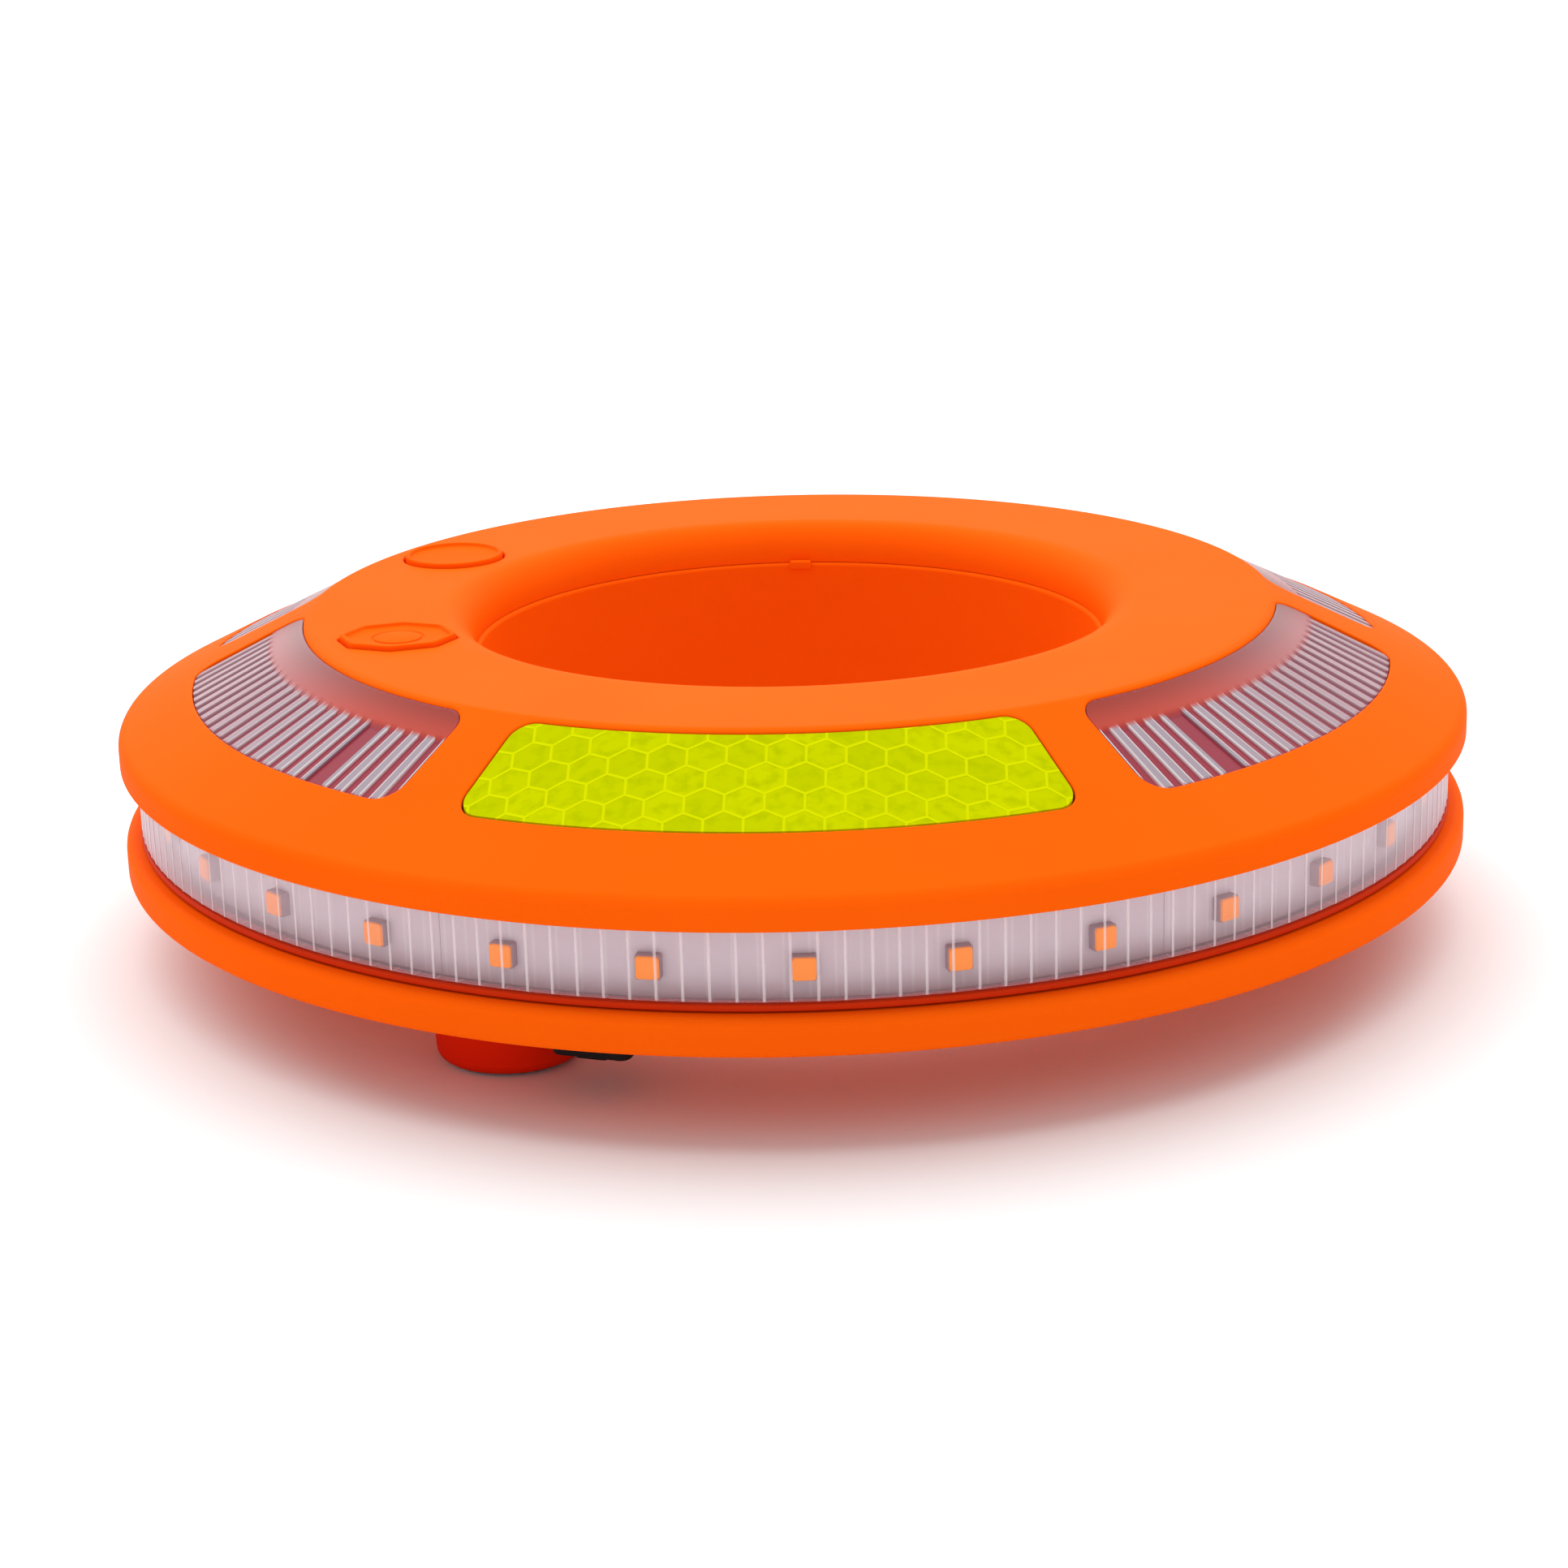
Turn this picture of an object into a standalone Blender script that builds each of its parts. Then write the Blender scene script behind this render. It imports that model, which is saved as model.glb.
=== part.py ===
"""Ring-shaped LED warning light that drops over the top of a traffic cone or stands on its three feet.

Sizes are in millimetres and angles in degrees; the functions below turn them to metres and radians.
The origin is on the ring's axis, in the plane of the foot pads, with +Z up. A bearing is an angle about
that axis: 0 is the front (-Y) and 90 is the right (+X). A piece is modelled at the front, then turned.
"""

import math

import bmesh
import bpy

MM = 0.001
GAP = 0.3            # clearance between neighbouring pieces
RING_SIDES = 60      # facets round the big rings
PLAIN_SIDES = 36     # facets round the plain rings inside
SMALL_SIDES = 20     # facets round feet, cells and buttons
SCREW_SIDES = 12

# The ring as a whole
RING_R = 115.0       # outer radius of both housings
FOOT_H = 15.0        # underside of the base above the foot pads
TOP_Z = 55.0         # flat top face
BORE_R = 54.0        # cone hole, in the top cover
SEAM_Z = 48.0        # where the cover's bore wall meets the base's sleeve
WALL = 2.4           # moulded wall thickness

# Sloping part of the top cover, which carries the windows
SLOPE_R = 82.0       # edge of the flat top
SLOPE = 26.3         # degrees below horizontal
ROOF_DEPTH = 2.8     # wall thickness of the slope, measured straight down
LIP_Z = 34.3         # lower edge of the cover's rim
LIP_INNER_R = 112.9
SHOULDER_Z = 37.6    # top of the rim's upright part

# Light band round the side
LENS_R = 112.24
LENS_T = 2.0
LENS_Z = (22.6, 35.8)
SEAL_R = (109.9, 112.4)
UPPER_SEAL_Z = (36.1, 36.8)
LOWER_SEAL_Z = (21.3, 22.3)
CARRIER_R = (104.0, 106.2)
CARRIER_Z = (17.8, 36.5)
STRIP_R = (106.6, 107.3)
STRIP_Z = (21.4, 34.4)
STRIP_HALF = 29.5    # half the angle of one strip
LED_PITCH = 12.0
LED_FIRST = 3.0      # bearing of the light just right of the front
LED_SIZE = 3.5
LED_H = 2.0
LED_Z = 26.5
STRIPS = 6
STRIP_PITCH = 360.0 / STRIPS
LEDS_PER_STRIP = 5
LED_SINK = 0.3       # how far each light is set into its strip

# Windows in the slope
CLEAR_HALF = 26.1      # half the angle of a clear window's opening
REFLECTOR_HALF = 27.3  # the reflective windows are a little longer
WINDOW_R = (82.9, 102.1)
WINDOW_CORNER = 4.0
WINDOW_GAP = 0.35
CLEAR_WINDOWS = {"front_right": 60.0, "rear_right": 120.0, "rear_left": -120.0, "front_left": -60.0}
REFLECTOR_WINDOWS = {"front": 0.0, "rear": 180.0}
LENS_DEPTH = (0.25, 2.6)
SHEET_DEPTH = (0.15, 0.75)
PLATE_DEPTH = (1.05, 2.6)
TRAY_DEPTH = (3.2, 4.4)
TRAY_GROW = 1.6

# Base housing
RIM_TOP_Z = 21.0
RIM_INNER_R = 109.0
FLOOR_TOP_Z = FOOT_H + 2.5
SLEEVE_TOP_R = 53.2
SLEEVE_FOOT_R = 56.0

# Feet, one third of a turn apart
FOOT_BEARINGS = (-30.0, 90.0, 210.0)
FOOT_RING_R = 84.0
FOOT_R = 12.3
FOOT_TIP_R = 11.6
FOOT_ROUND = 1.8
MAGNET_R = 9.2
FOOT_SCREW_HOLE_R = 1.6
CUP_BOTTOM_Z = 0.4
CUP_FLOOR_Z = (6.0, 8.0)
CUP_POST_R = 3.6
MAGNET_Z = (2.0, 5.7)
PAD_TOP_Z = 1.6
FOOT_SCREW = (3.0, 1.3, 9.0)          # head radius, shank radius, tip

# Screws that close the two housings
COVER_SCREW_RING_R = 64.0
COVER_SCREW_FIRST = 24.4
COVER_SCREWS = 6
COVER_SCREW_PITCH = 360.0 / COVER_SCREWS
BOSS_R = 3.5
BOSS_FOOT_Z = 20.3
TOWER_R = 4.6
TOWER_Z = 20.0
BOSS_HOLE_R = 1.7
BOSS_HOLE_TOP_Z = 36.0
TOWER_HOLE_R = 1.8
COVER_SCREW = (3.0, 1.4, 15.3, 33.0)  # head radius, shank radius, head's low face, tip
HEAD_POCKET_R = 3.4
HEAD_SEAT_Z = 17.8

# Buttons and the board under them
POWER_AT = (-68.4, 68.7)      # bearing, radius
MODE_AT = (-118.1, 70.6)
POWER_STRETCH = (1.12, 0.96)  # the octagon is a little wider than deep
BUTTON_R = 8.8
BUTTON_GAP = 0.4
BUTTON_RIM_Z = 55.8
BUTTON_FLANGE_R = 9.7
BUTTON_FLANGE_Z = (51.1, 51.8)
BUTTON_STEM_R = 2.2
BUTTON_STEM_Z = 50.9
BOARD_Z = (44.4, 46.0)
BOARD_R = (61.5, 80.5)
BOARD_BEARINGS = (-138.0, -52.0)
BOARD_SCREW_BEARINGS = (-135.0, -55.0)
BOARD_SCREW_RING_R = 76.0
BOARD_SCREW = (2.2, 0.95, 42.4, 49.5)
PILLAR_R = 2.6
PILLAR_HOLE_R = 1.3
PILLAR_HOLE_TOP_Z = 51.0
BOARD_HOLE_R = 1.4
SWITCH = (6.0, 6.0, 2.9)
PLUNGER_R = 1.7
PLUNGER_TOP_Z = 49.9

# Cells and wiring
CELL_BEARINGS = (30.0, 150.0, -90.0)
CELL_RING_R = 80.0
CELL_R = 9.2
CELL_LENGTH = 65.0
CELL_Z = 28.5
CRADLE_SPARE = 5.0   # how much longer a cradle is than its cell
CRADLE_DEPTH = 21.0
LOOM_R = 69.0
LOOM_Z = 40.0
LOOM_RISE = 3.0
LOOM_WIRE_R = 0.8
LOOM_START = -62.0
LOOM_TURN = 296.0

# Charging port beside the front left foot
PORT_BEARING = -16.5
PORT_RING_R = 92.0
COLLAR = (13.0, 11.0)         # along the ring, across the ring
COLLAR_Z = 9.2
PORT_POCKET = (9.6, 3.9)
PORT_BODY = (9.0, 3.3)
FLAP = (12.6, 11.0, 2.0)      # along the ring, across the ring, thickness
FLAP_TAB = (9.0, 3.0)
FLAP_PLUG = (8.4, 2.6, 1.0)
PORT_MOUTH_Z = 9.9
PORT_SLOT = (8.3, 2.5, 6.0)
PORT_SLOT_Z = 12.0


def new_collection(name):
    """A collection linked to the scene."""
    collection = bpy.data.collections.new(name)
    bpy.context.scene.collection.children.link(collection)
    return collection


def clear_scene():
    """Empty the scene without closing the file."""
    for obj in list(bpy.data.objects):
        bpy.data.objects.remove(obj, do_unlink=True)


def make_material(name, colour, roughness, metallic=0.0, alpha=1.0):
    """A Principled material; colour is linear red, green, blue."""
    material = bpy.data.materials.new(name)
    material.use_nodes = True
    shader = material.node_tree.nodes["Principled BSDF"]
    shader.inputs["Base Color"].default_value = (*colour, 1.0)
    shader.inputs["Roughness"].default_value = roughness
    shader.inputs["Metallic"].default_value = metallic
    shader.inputs["Alpha"].default_value = alpha
    return material


clear_scene()
parts = new_collection("cone_ring_light")
cutters = new_collection("cutters")

orange = make_material("orange_abs", (1.0, 0.19, 0.02), 0.5)
orange_rubber = make_material("orange_tpe", (0.85, 0.12, 0.01), 0.65)
seal_rubber = make_material("seal_silicone", (0.5, 0.02, 0.0), 0.6)
clear = make_material("clear_polycarbonate", (0.9, 0.9, 0.92), 0.1, alpha=0.35)
tray_plastic = make_material("mauve_tray", (0.35, 0.12, 0.15), 0.5)
carrier_plastic = make_material("pale_carrier", (0.6, 0.56, 0.6), 0.5)
strip_board = make_material("white_strip", (0.5, 0.45, 0.48), 0.5)
reflective = make_material("yellow_green_sheet", (0.55, 0.8, 0.0), 0.25)
plate_plastic = make_material("plate_abs", (0.05, 0.05, 0.05), 0.5)
board_green = make_material("board_laminate", (0.02, 0.2, 0.06), 0.4)
switch_plastic = make_material("switch_plastic", (0.03, 0.03, 0.03), 0.4)
cell_wrap = make_material("cell_wrap", (0.05, 0.2, 0.5), 0.35)
cradle_plastic = make_material("cradle_abs", (0.08, 0.08, 0.08), 0.5)
magnet_nickel = make_material("magnet_nickel", (0.6, 0.6, 0.6), 0.2, metallic=1.0)
screw_steel = make_material("screw_steel", (0.5, 0.5, 0.5), 0.3, metallic=1.0)
port_steel = make_material("port_steel", (0.6, 0.6, 0.62), 0.3, metallic=1.0)
black_rubber = make_material("black_rubber", (0.01, 0.01, 0.01), 0.7)
wire_pvc = make_material("wire_pvc", (0.3, 0.01, 0.01), 0.4)


def ring_point(bearing, radius, height=0.0):
    """Place in metres at a bearing, radius and height."""
    turn = math.radians(bearing)
    return (radius * math.sin(turn) * MM, -radius * math.cos(turn) * MM, height * MM)


def arc(centre, radius, start, end, count):
    """Points on an arc, its angles in degrees anticlockwise from the first axis, both ends included."""
    points = []
    for i in range(count):
        angle = math.radians(start + (end - start) * i / (count - 1))
        points.append((centre[0] + radius * math.cos(angle), centre[1] + radius * math.sin(angle)))
    return points


def roof_z(radius):
    """Height of the slope's outer face."""
    return TOP_Z - (radius - SLOPE_R) * math.tan(math.radians(SLOPE))


def add(name, mesh, material, collection=None):
    """An object for a mesh, with its material, in the parts unless another collection is given."""
    obj = bpy.data.objects.new(name, mesh)
    (collection or parts).objects.link(obj)
    if material:
        mesh.materials.append(material)
    return obj


def as_guide(obj):
    """Move an object to the cutters, where it only shapes other objects."""
    for collection in obj.users_collection:
        collection.objects.unlink(obj)
    cutters.objects.link(obj)
    obj.hide_render = True
    obj.display_type = "WIRE"
    return obj


def place(obj, bearing=0.0, radius=0.0, height=0.0):
    """Put an object modelled at the origin at a bearing, facing outwards."""
    obj.location = ring_point(bearing, radius, height)
    obj.rotation_euler.z = math.radians(bearing)
    return obj


def turned(name, profile, material, sides=RING_SIDES, closed=True):
    """Solid of revolution from (radius, height) points that run clockwise, down the outer side."""
    count = len(profile)
    last = count if closed else count - 1
    edges = [(i, (i + 1) % count) for i in range(last)]
    mesh = bpy.data.meshes.new(name)
    mesh.from_pydata([(r * MM, 0.0, z * MM) for r, z in profile], edges, [])
    obj = add(name, mesh, material)
    screw = obj.modifiers.new("Turn", "SCREW")
    screw.steps = sides
    screw.render_steps = sides
    screw.use_merge_vertices = True
    screw.merge_threshold = 0.00001
    return obj


def plate(name, outline, bottom, top, material):
    """Flat outline of (x, y) points, filled and extruded from bottom to top."""
    curve = bpy.data.curves.new(name, "CURVE")
    curve.dimensions = "2D"
    curve.fill_mode = "BOTH"
    curve.extrude = (top - bottom) / 2 * MM
    spline = curve.splines.new("POLY")
    spline.points.add(len(outline) - 1)
    for point, (x, y) in zip(spline.points, outline):
        point.co = (x * MM, y * MM, 0.0, 1.0)
    spline.use_cyclic_u = True
    drawn = add(name + "_outline", curve, None)
    drawn.location.z = (top + bottom) / 2 * MM
    return as_mesh(name, drawn, material)


def as_mesh(name, drawn, material):
    """Mesh object from a curve object, with its caps welded; the curve is removed."""
    bpy.context.view_layer.update()
    mesh = bpy.data.meshes.new_from_object(drawn.evaluated_get(bpy.context.evaluated_depsgraph_get()))
    mesh.name = name
    mesh.materials.clear()
    work = bmesh_of(mesh)
    bmesh.ops.remove_doubles(work, verts=work.verts, dist=0.000001)
    work.to_mesh(mesh)
    work.free()
    obj = add(name, mesh, material)
    obj.matrix_world = drawn.matrix_world.copy()
    bpy.data.objects.remove(drawn)
    return obj


def bmesh_of(mesh):
    """An editable copy of a mesh."""
    work = bmesh.new()
    work.from_mesh(mesh)
    return work


def block(name, size, centre, material):
    """Box of size (along X, along Y, height) about a centre, all in millimetres."""
    mesh = bpy.data.meshes.new(name)
    work = bmesh.new()
    bmesh.ops.create_cube(work, size=1.0)
    bmesh.ops.scale(work, vec=[s * MM for s in size], verts=work.verts)
    bmesh.ops.translate(work, vec=[c * MM for c in centre], verts=work.verts)
    work.to_mesh(mesh)
    work.free()
    return add(name, mesh, material)


def rod(name, radius, bottom, top, material, sides=SCREW_SIDES):
    """Upright cylinder on the object's own axis."""
    mesh = bpy.data.meshes.new(name)
    work = bmesh.new()
    r = radius * MM
    height = (top - bottom) * MM
    bmesh.ops.create_cone(work, cap_ends=True, segments=sides, radius1=r, radius2=r, depth=height)
    bmesh.ops.translate(work, vec=(0.0, 0.0, (top + bottom) / 2 * MM), verts=work.verts)
    work.to_mesh(mesh)
    work.free()
    return add(name, mesh, material)


def combine(obj, other, operation):
    """Boolean of a part with a guide object."""
    modifier = obj.modifiers.new(operation.title(), "BOOLEAN")
    modifier.operation = operation
    modifier.object = as_guide(other)
    modifier.solver = "EXACT"
    return obj


def repeat(source, names, bearings):
    """Copies of a finished piece that share one mesh, each at its bearing; the source is removed."""
    bpy.context.view_layer.update()
    mesh = bpy.data.meshes.new_from_object(source.evaluated_get(bpy.context.evaluated_depsgraph_get()))
    place_of_source = source.location.copy()
    material = source.data.materials[0]
    bpy.data.objects.remove(source)
    mesh.materials.clear()
    mesh.materials.append(material)
    copies = []
    for name, bearing in zip(names, bearings):
        obj = bpy.data.objects.new(name, mesh)
        parts.objects.link(obj)
        obj.rotation_euler.z = math.radians(bearing)
        obj.location = place_of_source
        obj.location.rotate(obj.rotation_euler)
        copies.append(obj)
    return copies


def sector(inner, outer, start, end, steps):
    """Outline of a ring sector between two bearings."""
    bearings = [start + (end - start) * i / steps for i in range(steps + 1)]
    across = [ring_xy(b, outer) for b in bearings]
    back = [ring_xy(b, inner) for b in reversed(bearings)]
    return across + back


def ring_xy(bearing, radius):
    """Point in the plan, in millimetres."""
    turn = math.radians(bearing)
    return (radius * math.sin(turn), -radius * math.cos(turn))


def window_outline(half_angle, gap, steps=8, corner_steps=3):
    """Window shape in the plan: a ring sector with round corners, drawn in by a gap on every side."""
    inner = WINDOW_R[0] + gap
    outer = WINDOW_R[1] - gap
    middle = (inner + outer) / 2
    edge = math.radians(half_angle) - gap / middle
    corner = WINDOW_CORNER - gap
    right = []
    for side, radius in ((1, outer - corner), (-1, inner + corner)):
        lean = math.asin(corner / radius)
        centre_turn = edge - lean
        centre = (radius * math.sin(centre_turn), -radius * math.cos(centre_turn))
        along = math.degrees(centre_turn) - 90      # pointing away from the axis
        across = math.degrees(edge)                 # pointing square to the window's end
        if side == 1:
            right += arc(centre, corner, along, across, corner_steps)
        else:
            right += arc(centre, corner, across, along + 180, corner_steps)
    left = [(-x, y) for x, y in reversed(right)]
    outer_turn = math.degrees(edge - math.asin(corner / (outer - corner)))
    inner_turn = math.degrees(edge - math.asin(corner / (inner + corner)))
    front = [ring_xy(-outer_turn + 2 * outer_turn * i / steps, outer) for i in range(1, steps)]
    back = [ring_xy(inner_turn - 2 * inner_turn * i / steps, inner) for i in range(1, steps)]
    return right + back + left + front


def roof_layer(name, depth, margin=3.0):
    """Turned layer of the slope between two depths below its face, used to shape the window pieces."""
    inner = WINDOW_R[0] - margin
    outer = WINDOW_R[1] + margin
    shallow, deep = depth
    profile = [
        (inner, roof_z(inner) - shallow),
        (outer, roof_z(outer) - shallow),
        (outer, roof_z(outer) - deep),
        (inner, roof_z(inner) - deep),
    ]
    return turned(name, profile, None)


def window_piece(name, half_angle, depth, gap, material):
    """One piece that lies in a window, between two depths below the slope's face."""
    piece = plate(name, window_outline(half_angle, gap), 30.0, 60.0, material)
    return combine(piece, roof_layer(name + "_layer", depth), "INTERSECT")


def button_profile(rim_z):
    """Half section of a button: dished cap, wider flange inside the cover, short stem."""
    rim_r = BUTTON_R
    return [
        (0.0, rim_z - 0.8),
        (4.2, rim_z - 0.8),
        (4.5, rim_z - 0.55),
        (rim_r - 0.9, rim_z),
        (rim_r - 0.4, rim_z),
        (rim_r, rim_z - 0.4),
        (rim_r, BUTTON_FLANGE_Z[1]),
        (BUTTON_FLANGE_R, BUTTON_FLANGE_Z[1]),
        (BUTTON_FLANGE_R, BUTTON_FLANGE_Z[0]),
        (BUTTON_STEM_R, BUTTON_FLANGE_Z[0]),
        (BUTTON_STEM_R, BUTTON_STEM_Z),
        (0.0, BUTTON_STEM_Z),
    ]


def make_top_cover():
    """Upper housing: flat top, window slope, rim and bore wall in one moulding, with its screw bosses."""
    slope = math.radians(SLOPE)
    edge_round = 3.0
    edge_run = edge_round * math.tan(slope / 2)
    edge = arc((SLOPE_R - edge_run, TOP_Z - edge_round), edge_round, 90, 90 - SLOPE, 2)
    shoulder_round = 2.4
    shoulder = arc((RING_R - shoulder_round, SHOULDER_Z), shoulder_round, 90 - SLOPE, 0, 3)
    bore_round = 6.0
    inner_round = bore_round - WALL
    mouth = arc((BORE_R + bore_round, TOP_Z - bore_round), bore_round, 180, 90, 4)
    inside_mouth = arc((BORE_R + bore_round, TOP_Z - bore_round), inner_round, 90, 180, 4)
    ceiling_z = TOP_Z - WALL
    ceiling_r = SLOPE_R + (WALL - ROOF_DEPTH) / math.tan(slope)
    profile = [(BORE_R, SEAM_Z + GAP)] + mouth + edge + shoulder
    profile += [
        (RING_R, LIP_Z + 1.6),
        (RING_R - 0.4, LIP_Z),
        (LIP_INNER_R, LIP_Z),
        (LIP_INNER_R, roof_z(LIP_INNER_R) - ROOF_DEPTH),
        (ceiling_r, ceiling_z),
    ]
    profile += inside_mouth + [(BORE_R + WALL, SEAM_Z + GAP)]
    cover = turned("top_cover", profile, orange)
    for n in range(COVER_SCREWS):
        bearing = COVER_SCREW_FIRST + n * COVER_SCREW_PITCH
        boss = rod("boss", BOSS_R, BOSS_FOOT_Z, ceiling_z + 1.0, None)
        combine(cover, place(boss, bearing, COVER_SCREW_RING_R), "UNION")
        hole = rod("boss_hole", BOSS_HOLE_R, BOSS_FOOT_Z - 2.0, BOSS_HOLE_TOP_Z, None)
        combine(cover, place(hole, bearing, COVER_SCREW_RING_R), "DIFFERENCE")
    for bearing in BOARD_SCREW_BEARINGS:
        pillar = rod("board_pillar", PILLAR_R, BOARD_Z[1] + GAP, ceiling_z + 1.0, None)
        combine(cover, place(pillar, bearing, BOARD_SCREW_RING_R), "UNION")
        hole = rod("board_pillar_hole", PILLAR_HOLE_R, BOARD_Z[1] - 1.0, PILLAR_HOLE_TOP_Z, None)
        combine(cover, place(hole, bearing, BOARD_SCREW_RING_R), "DIFFERENCE")
    for half_angle, windows in ((CLEAR_HALF, CLEAR_WINDOWS), (REFLECTOR_HALF, REFLECTOR_WINDOWS)):
        for bearing in windows.values():
            opening = plate("window_opening", window_outline(half_angle, 0.0), 30.0, 70.0, None)
            opening.rotation_euler.z = math.radians(bearing)
            combine(cover, opening, "DIFFERENCE")
    combine(cover, button_hole(POWER_AT, 8, POWER_STRETCH), "DIFFERENCE")
    combine(cover, button_hole(MODE_AT, SMALL_SIDES), "DIFFERENCE")
    return cover


def button_hole(at, sides, stretch=(1.0, 1.0)):
    """Cutter for the opening a button travels in."""
    radius = BUTTON_R + BUTTON_GAP
    profile = [(0.0, 60.0), (radius, 60.0), (radius, 50.0), (0.0, 50.0)]
    hole = turned("button_hole", profile, None, sides, False)
    hole.location = ring_point(*at)
    hole.scale = (*stretch, 1.0)
    return hole


def make_base_housing():
    """Lower housing: floor, outer rim, inner sleeve, screw towers and the charging port's collar."""
    profile = [
        (SLEEVE_TOP_R + 0.5, SEAM_Z),
        (SLEEVE_TOP_R + WALL, SEAM_Z),
        (SLEEVE_FOOT_R + WALL, FLOOR_TOP_Z),
        (RIM_INNER_R, FLOOR_TOP_Z),
        (RIM_INNER_R, RIM_TOP_Z),
    ]
    profile += arc((RING_R - 1.5, RIM_TOP_Z - 1.5), 1.5, 90, 0, 3)
    profile += [
        (RING_R, FOOT_H + 2.2),
        (RING_R - 0.8, FOOT_H),
        (SLEEVE_FOOT_R + 1.0, FOOT_H),
        (SLEEVE_FOOT_R, FOOT_H + 1.0),
        (SLEEVE_TOP_R, SEAM_Z - 0.5),
    ]
    base = turned("base_housing", profile, orange)
    for n in range(COVER_SCREWS):
        bearing = COVER_SCREW_FIRST + n * COVER_SCREW_PITCH
        tower = rod("tower", TOWER_R, FOOT_H + 0.5, TOWER_Z, None)
        combine(base, place(tower, bearing, COVER_SCREW_RING_R), "UNION")
        profile = [
            (0.0, 25.0),
            (TOWER_HOLE_R, 25.0),
            (TOWER_HOLE_R, HEAD_SEAT_Z),
            (HEAD_POCKET_R, HEAD_SEAT_Z),
            (HEAD_POCKET_R, 10.0),
            (0.0, 10.0),
        ]
        pocket = turned("screw_pocket", profile, None, SCREW_SIDES, False)
        combine(base, place(pocket, bearing, COVER_SCREW_RING_R), "DIFFERENCE")
    for bearing in FOOT_BEARINGS:
        hole = rod("foot_screw_hole", FOOT_SCREW_HOLE_R, 10.0, 25.0, None)
        combine(base, place(hole, bearing, FOOT_RING_R), "DIFFERENCE")
    collar_top = FOOT_H + 1.0
    size = (*COLLAR, collar_top - COLLAR_Z)
    collar = block("collar", size, (0.0, 0.0, (collar_top + COLLAR_Z) / 2), None)
    combine(base, place(collar, PORT_BEARING, PORT_RING_R), "UNION")
    pocket = block("port_pocket", (*PORT_POCKET, 30.0), (0.0, 0.0, 15.0), None)
    combine(base, place(pocket, PORT_BEARING, PORT_RING_R), "DIFFERENCE")
    nub = block("seam_nub", (4.0, 1.2, 1.6), (0.0, SLEEVE_TOP_R - 0.2, SEAM_Z - 0.2), None)
    return combine(base, nub, "UNION")


def make_light_band():
    """Ribbed side lens, its two seals, the carrier ring and six strips of lights."""
    inner = LENS_R - LENS_T
    turned("side_lens", ring_section(inner, LENS_R, *LENS_Z), clear)
    turned("upper_seal", ring_section(*SEAL_R, *UPPER_SEAL_Z), seal_rubber, PLAIN_SIDES)
    turned("lower_seal", ring_section(*SEAL_R, *LOWER_SEAL_Z), seal_rubber, PLAIN_SIDES)
    turned("led_carrier", ring_section(*CARRIER_R, *CARRIER_Z), carrier_plastic, PLAIN_SIDES)
    strip = plate("strip", sector(*STRIP_R, -STRIP_HALF, STRIP_HALF, 12), *STRIP_Z, strip_board)
    for n in range(LEDS_PER_STRIP):
        bearing = (n - (LEDS_PER_STRIP - 1) / 2) * LED_PITCH
        depth = LED_H + LED_SINK
        light = block("light", (LED_SIZE, depth, LED_SIZE), (0.0, 0.0, 0.0), None)
        centre_r = STRIP_R[1] - LED_SINK + depth / 2
        combine(strip, place(light, bearing, centre_r, LED_Z), "UNION")
    names = [f"led_strip_{n + 1}" for n in range(STRIPS)]
    repeat(strip, names, [LED_FIRST + n * STRIP_PITCH for n in range(STRIPS)])


def ring_section(inner, outer, bottom, top):
    """Rectangular half section of a plain ring."""
    return [(inner, top), (outer, top), (outer, bottom), (inner, bottom)]


def make_windows():
    """Four clear lenses with a tray under each, and two reflective sheets on their plates."""
    lens = window_piece("lens", CLEAR_HALF, LENS_DEPTH, WINDOW_GAP, clear)
    repeat(lens, [f"window_lens_{side}" for side in CLEAR_WINDOWS], CLEAR_WINDOWS.values())
    tray = window_piece("tray", CLEAR_HALF, TRAY_DEPTH, -TRAY_GROW, tray_plastic)
    repeat(tray, [f"window_tray_{side}" for side in CLEAR_WINDOWS], CLEAR_WINDOWS.values())
    bearings = REFLECTOR_WINDOWS.values()
    backing = window_piece("backing", REFLECTOR_HALF, PLATE_DEPTH, WINDOW_GAP, plate_plastic)
    repeat(backing, [f"reflector_plate_{side}" for side in REFLECTOR_WINDOWS], bearings)
    sheet = window_piece("sheet", REFLECTOR_HALF, SHEET_DEPTH, WINDOW_GAP, reflective)
    repeat(sheet, [f"reflective_sheet_{side}" for side in REFLECTOR_WINDOWS], bearings)


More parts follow.
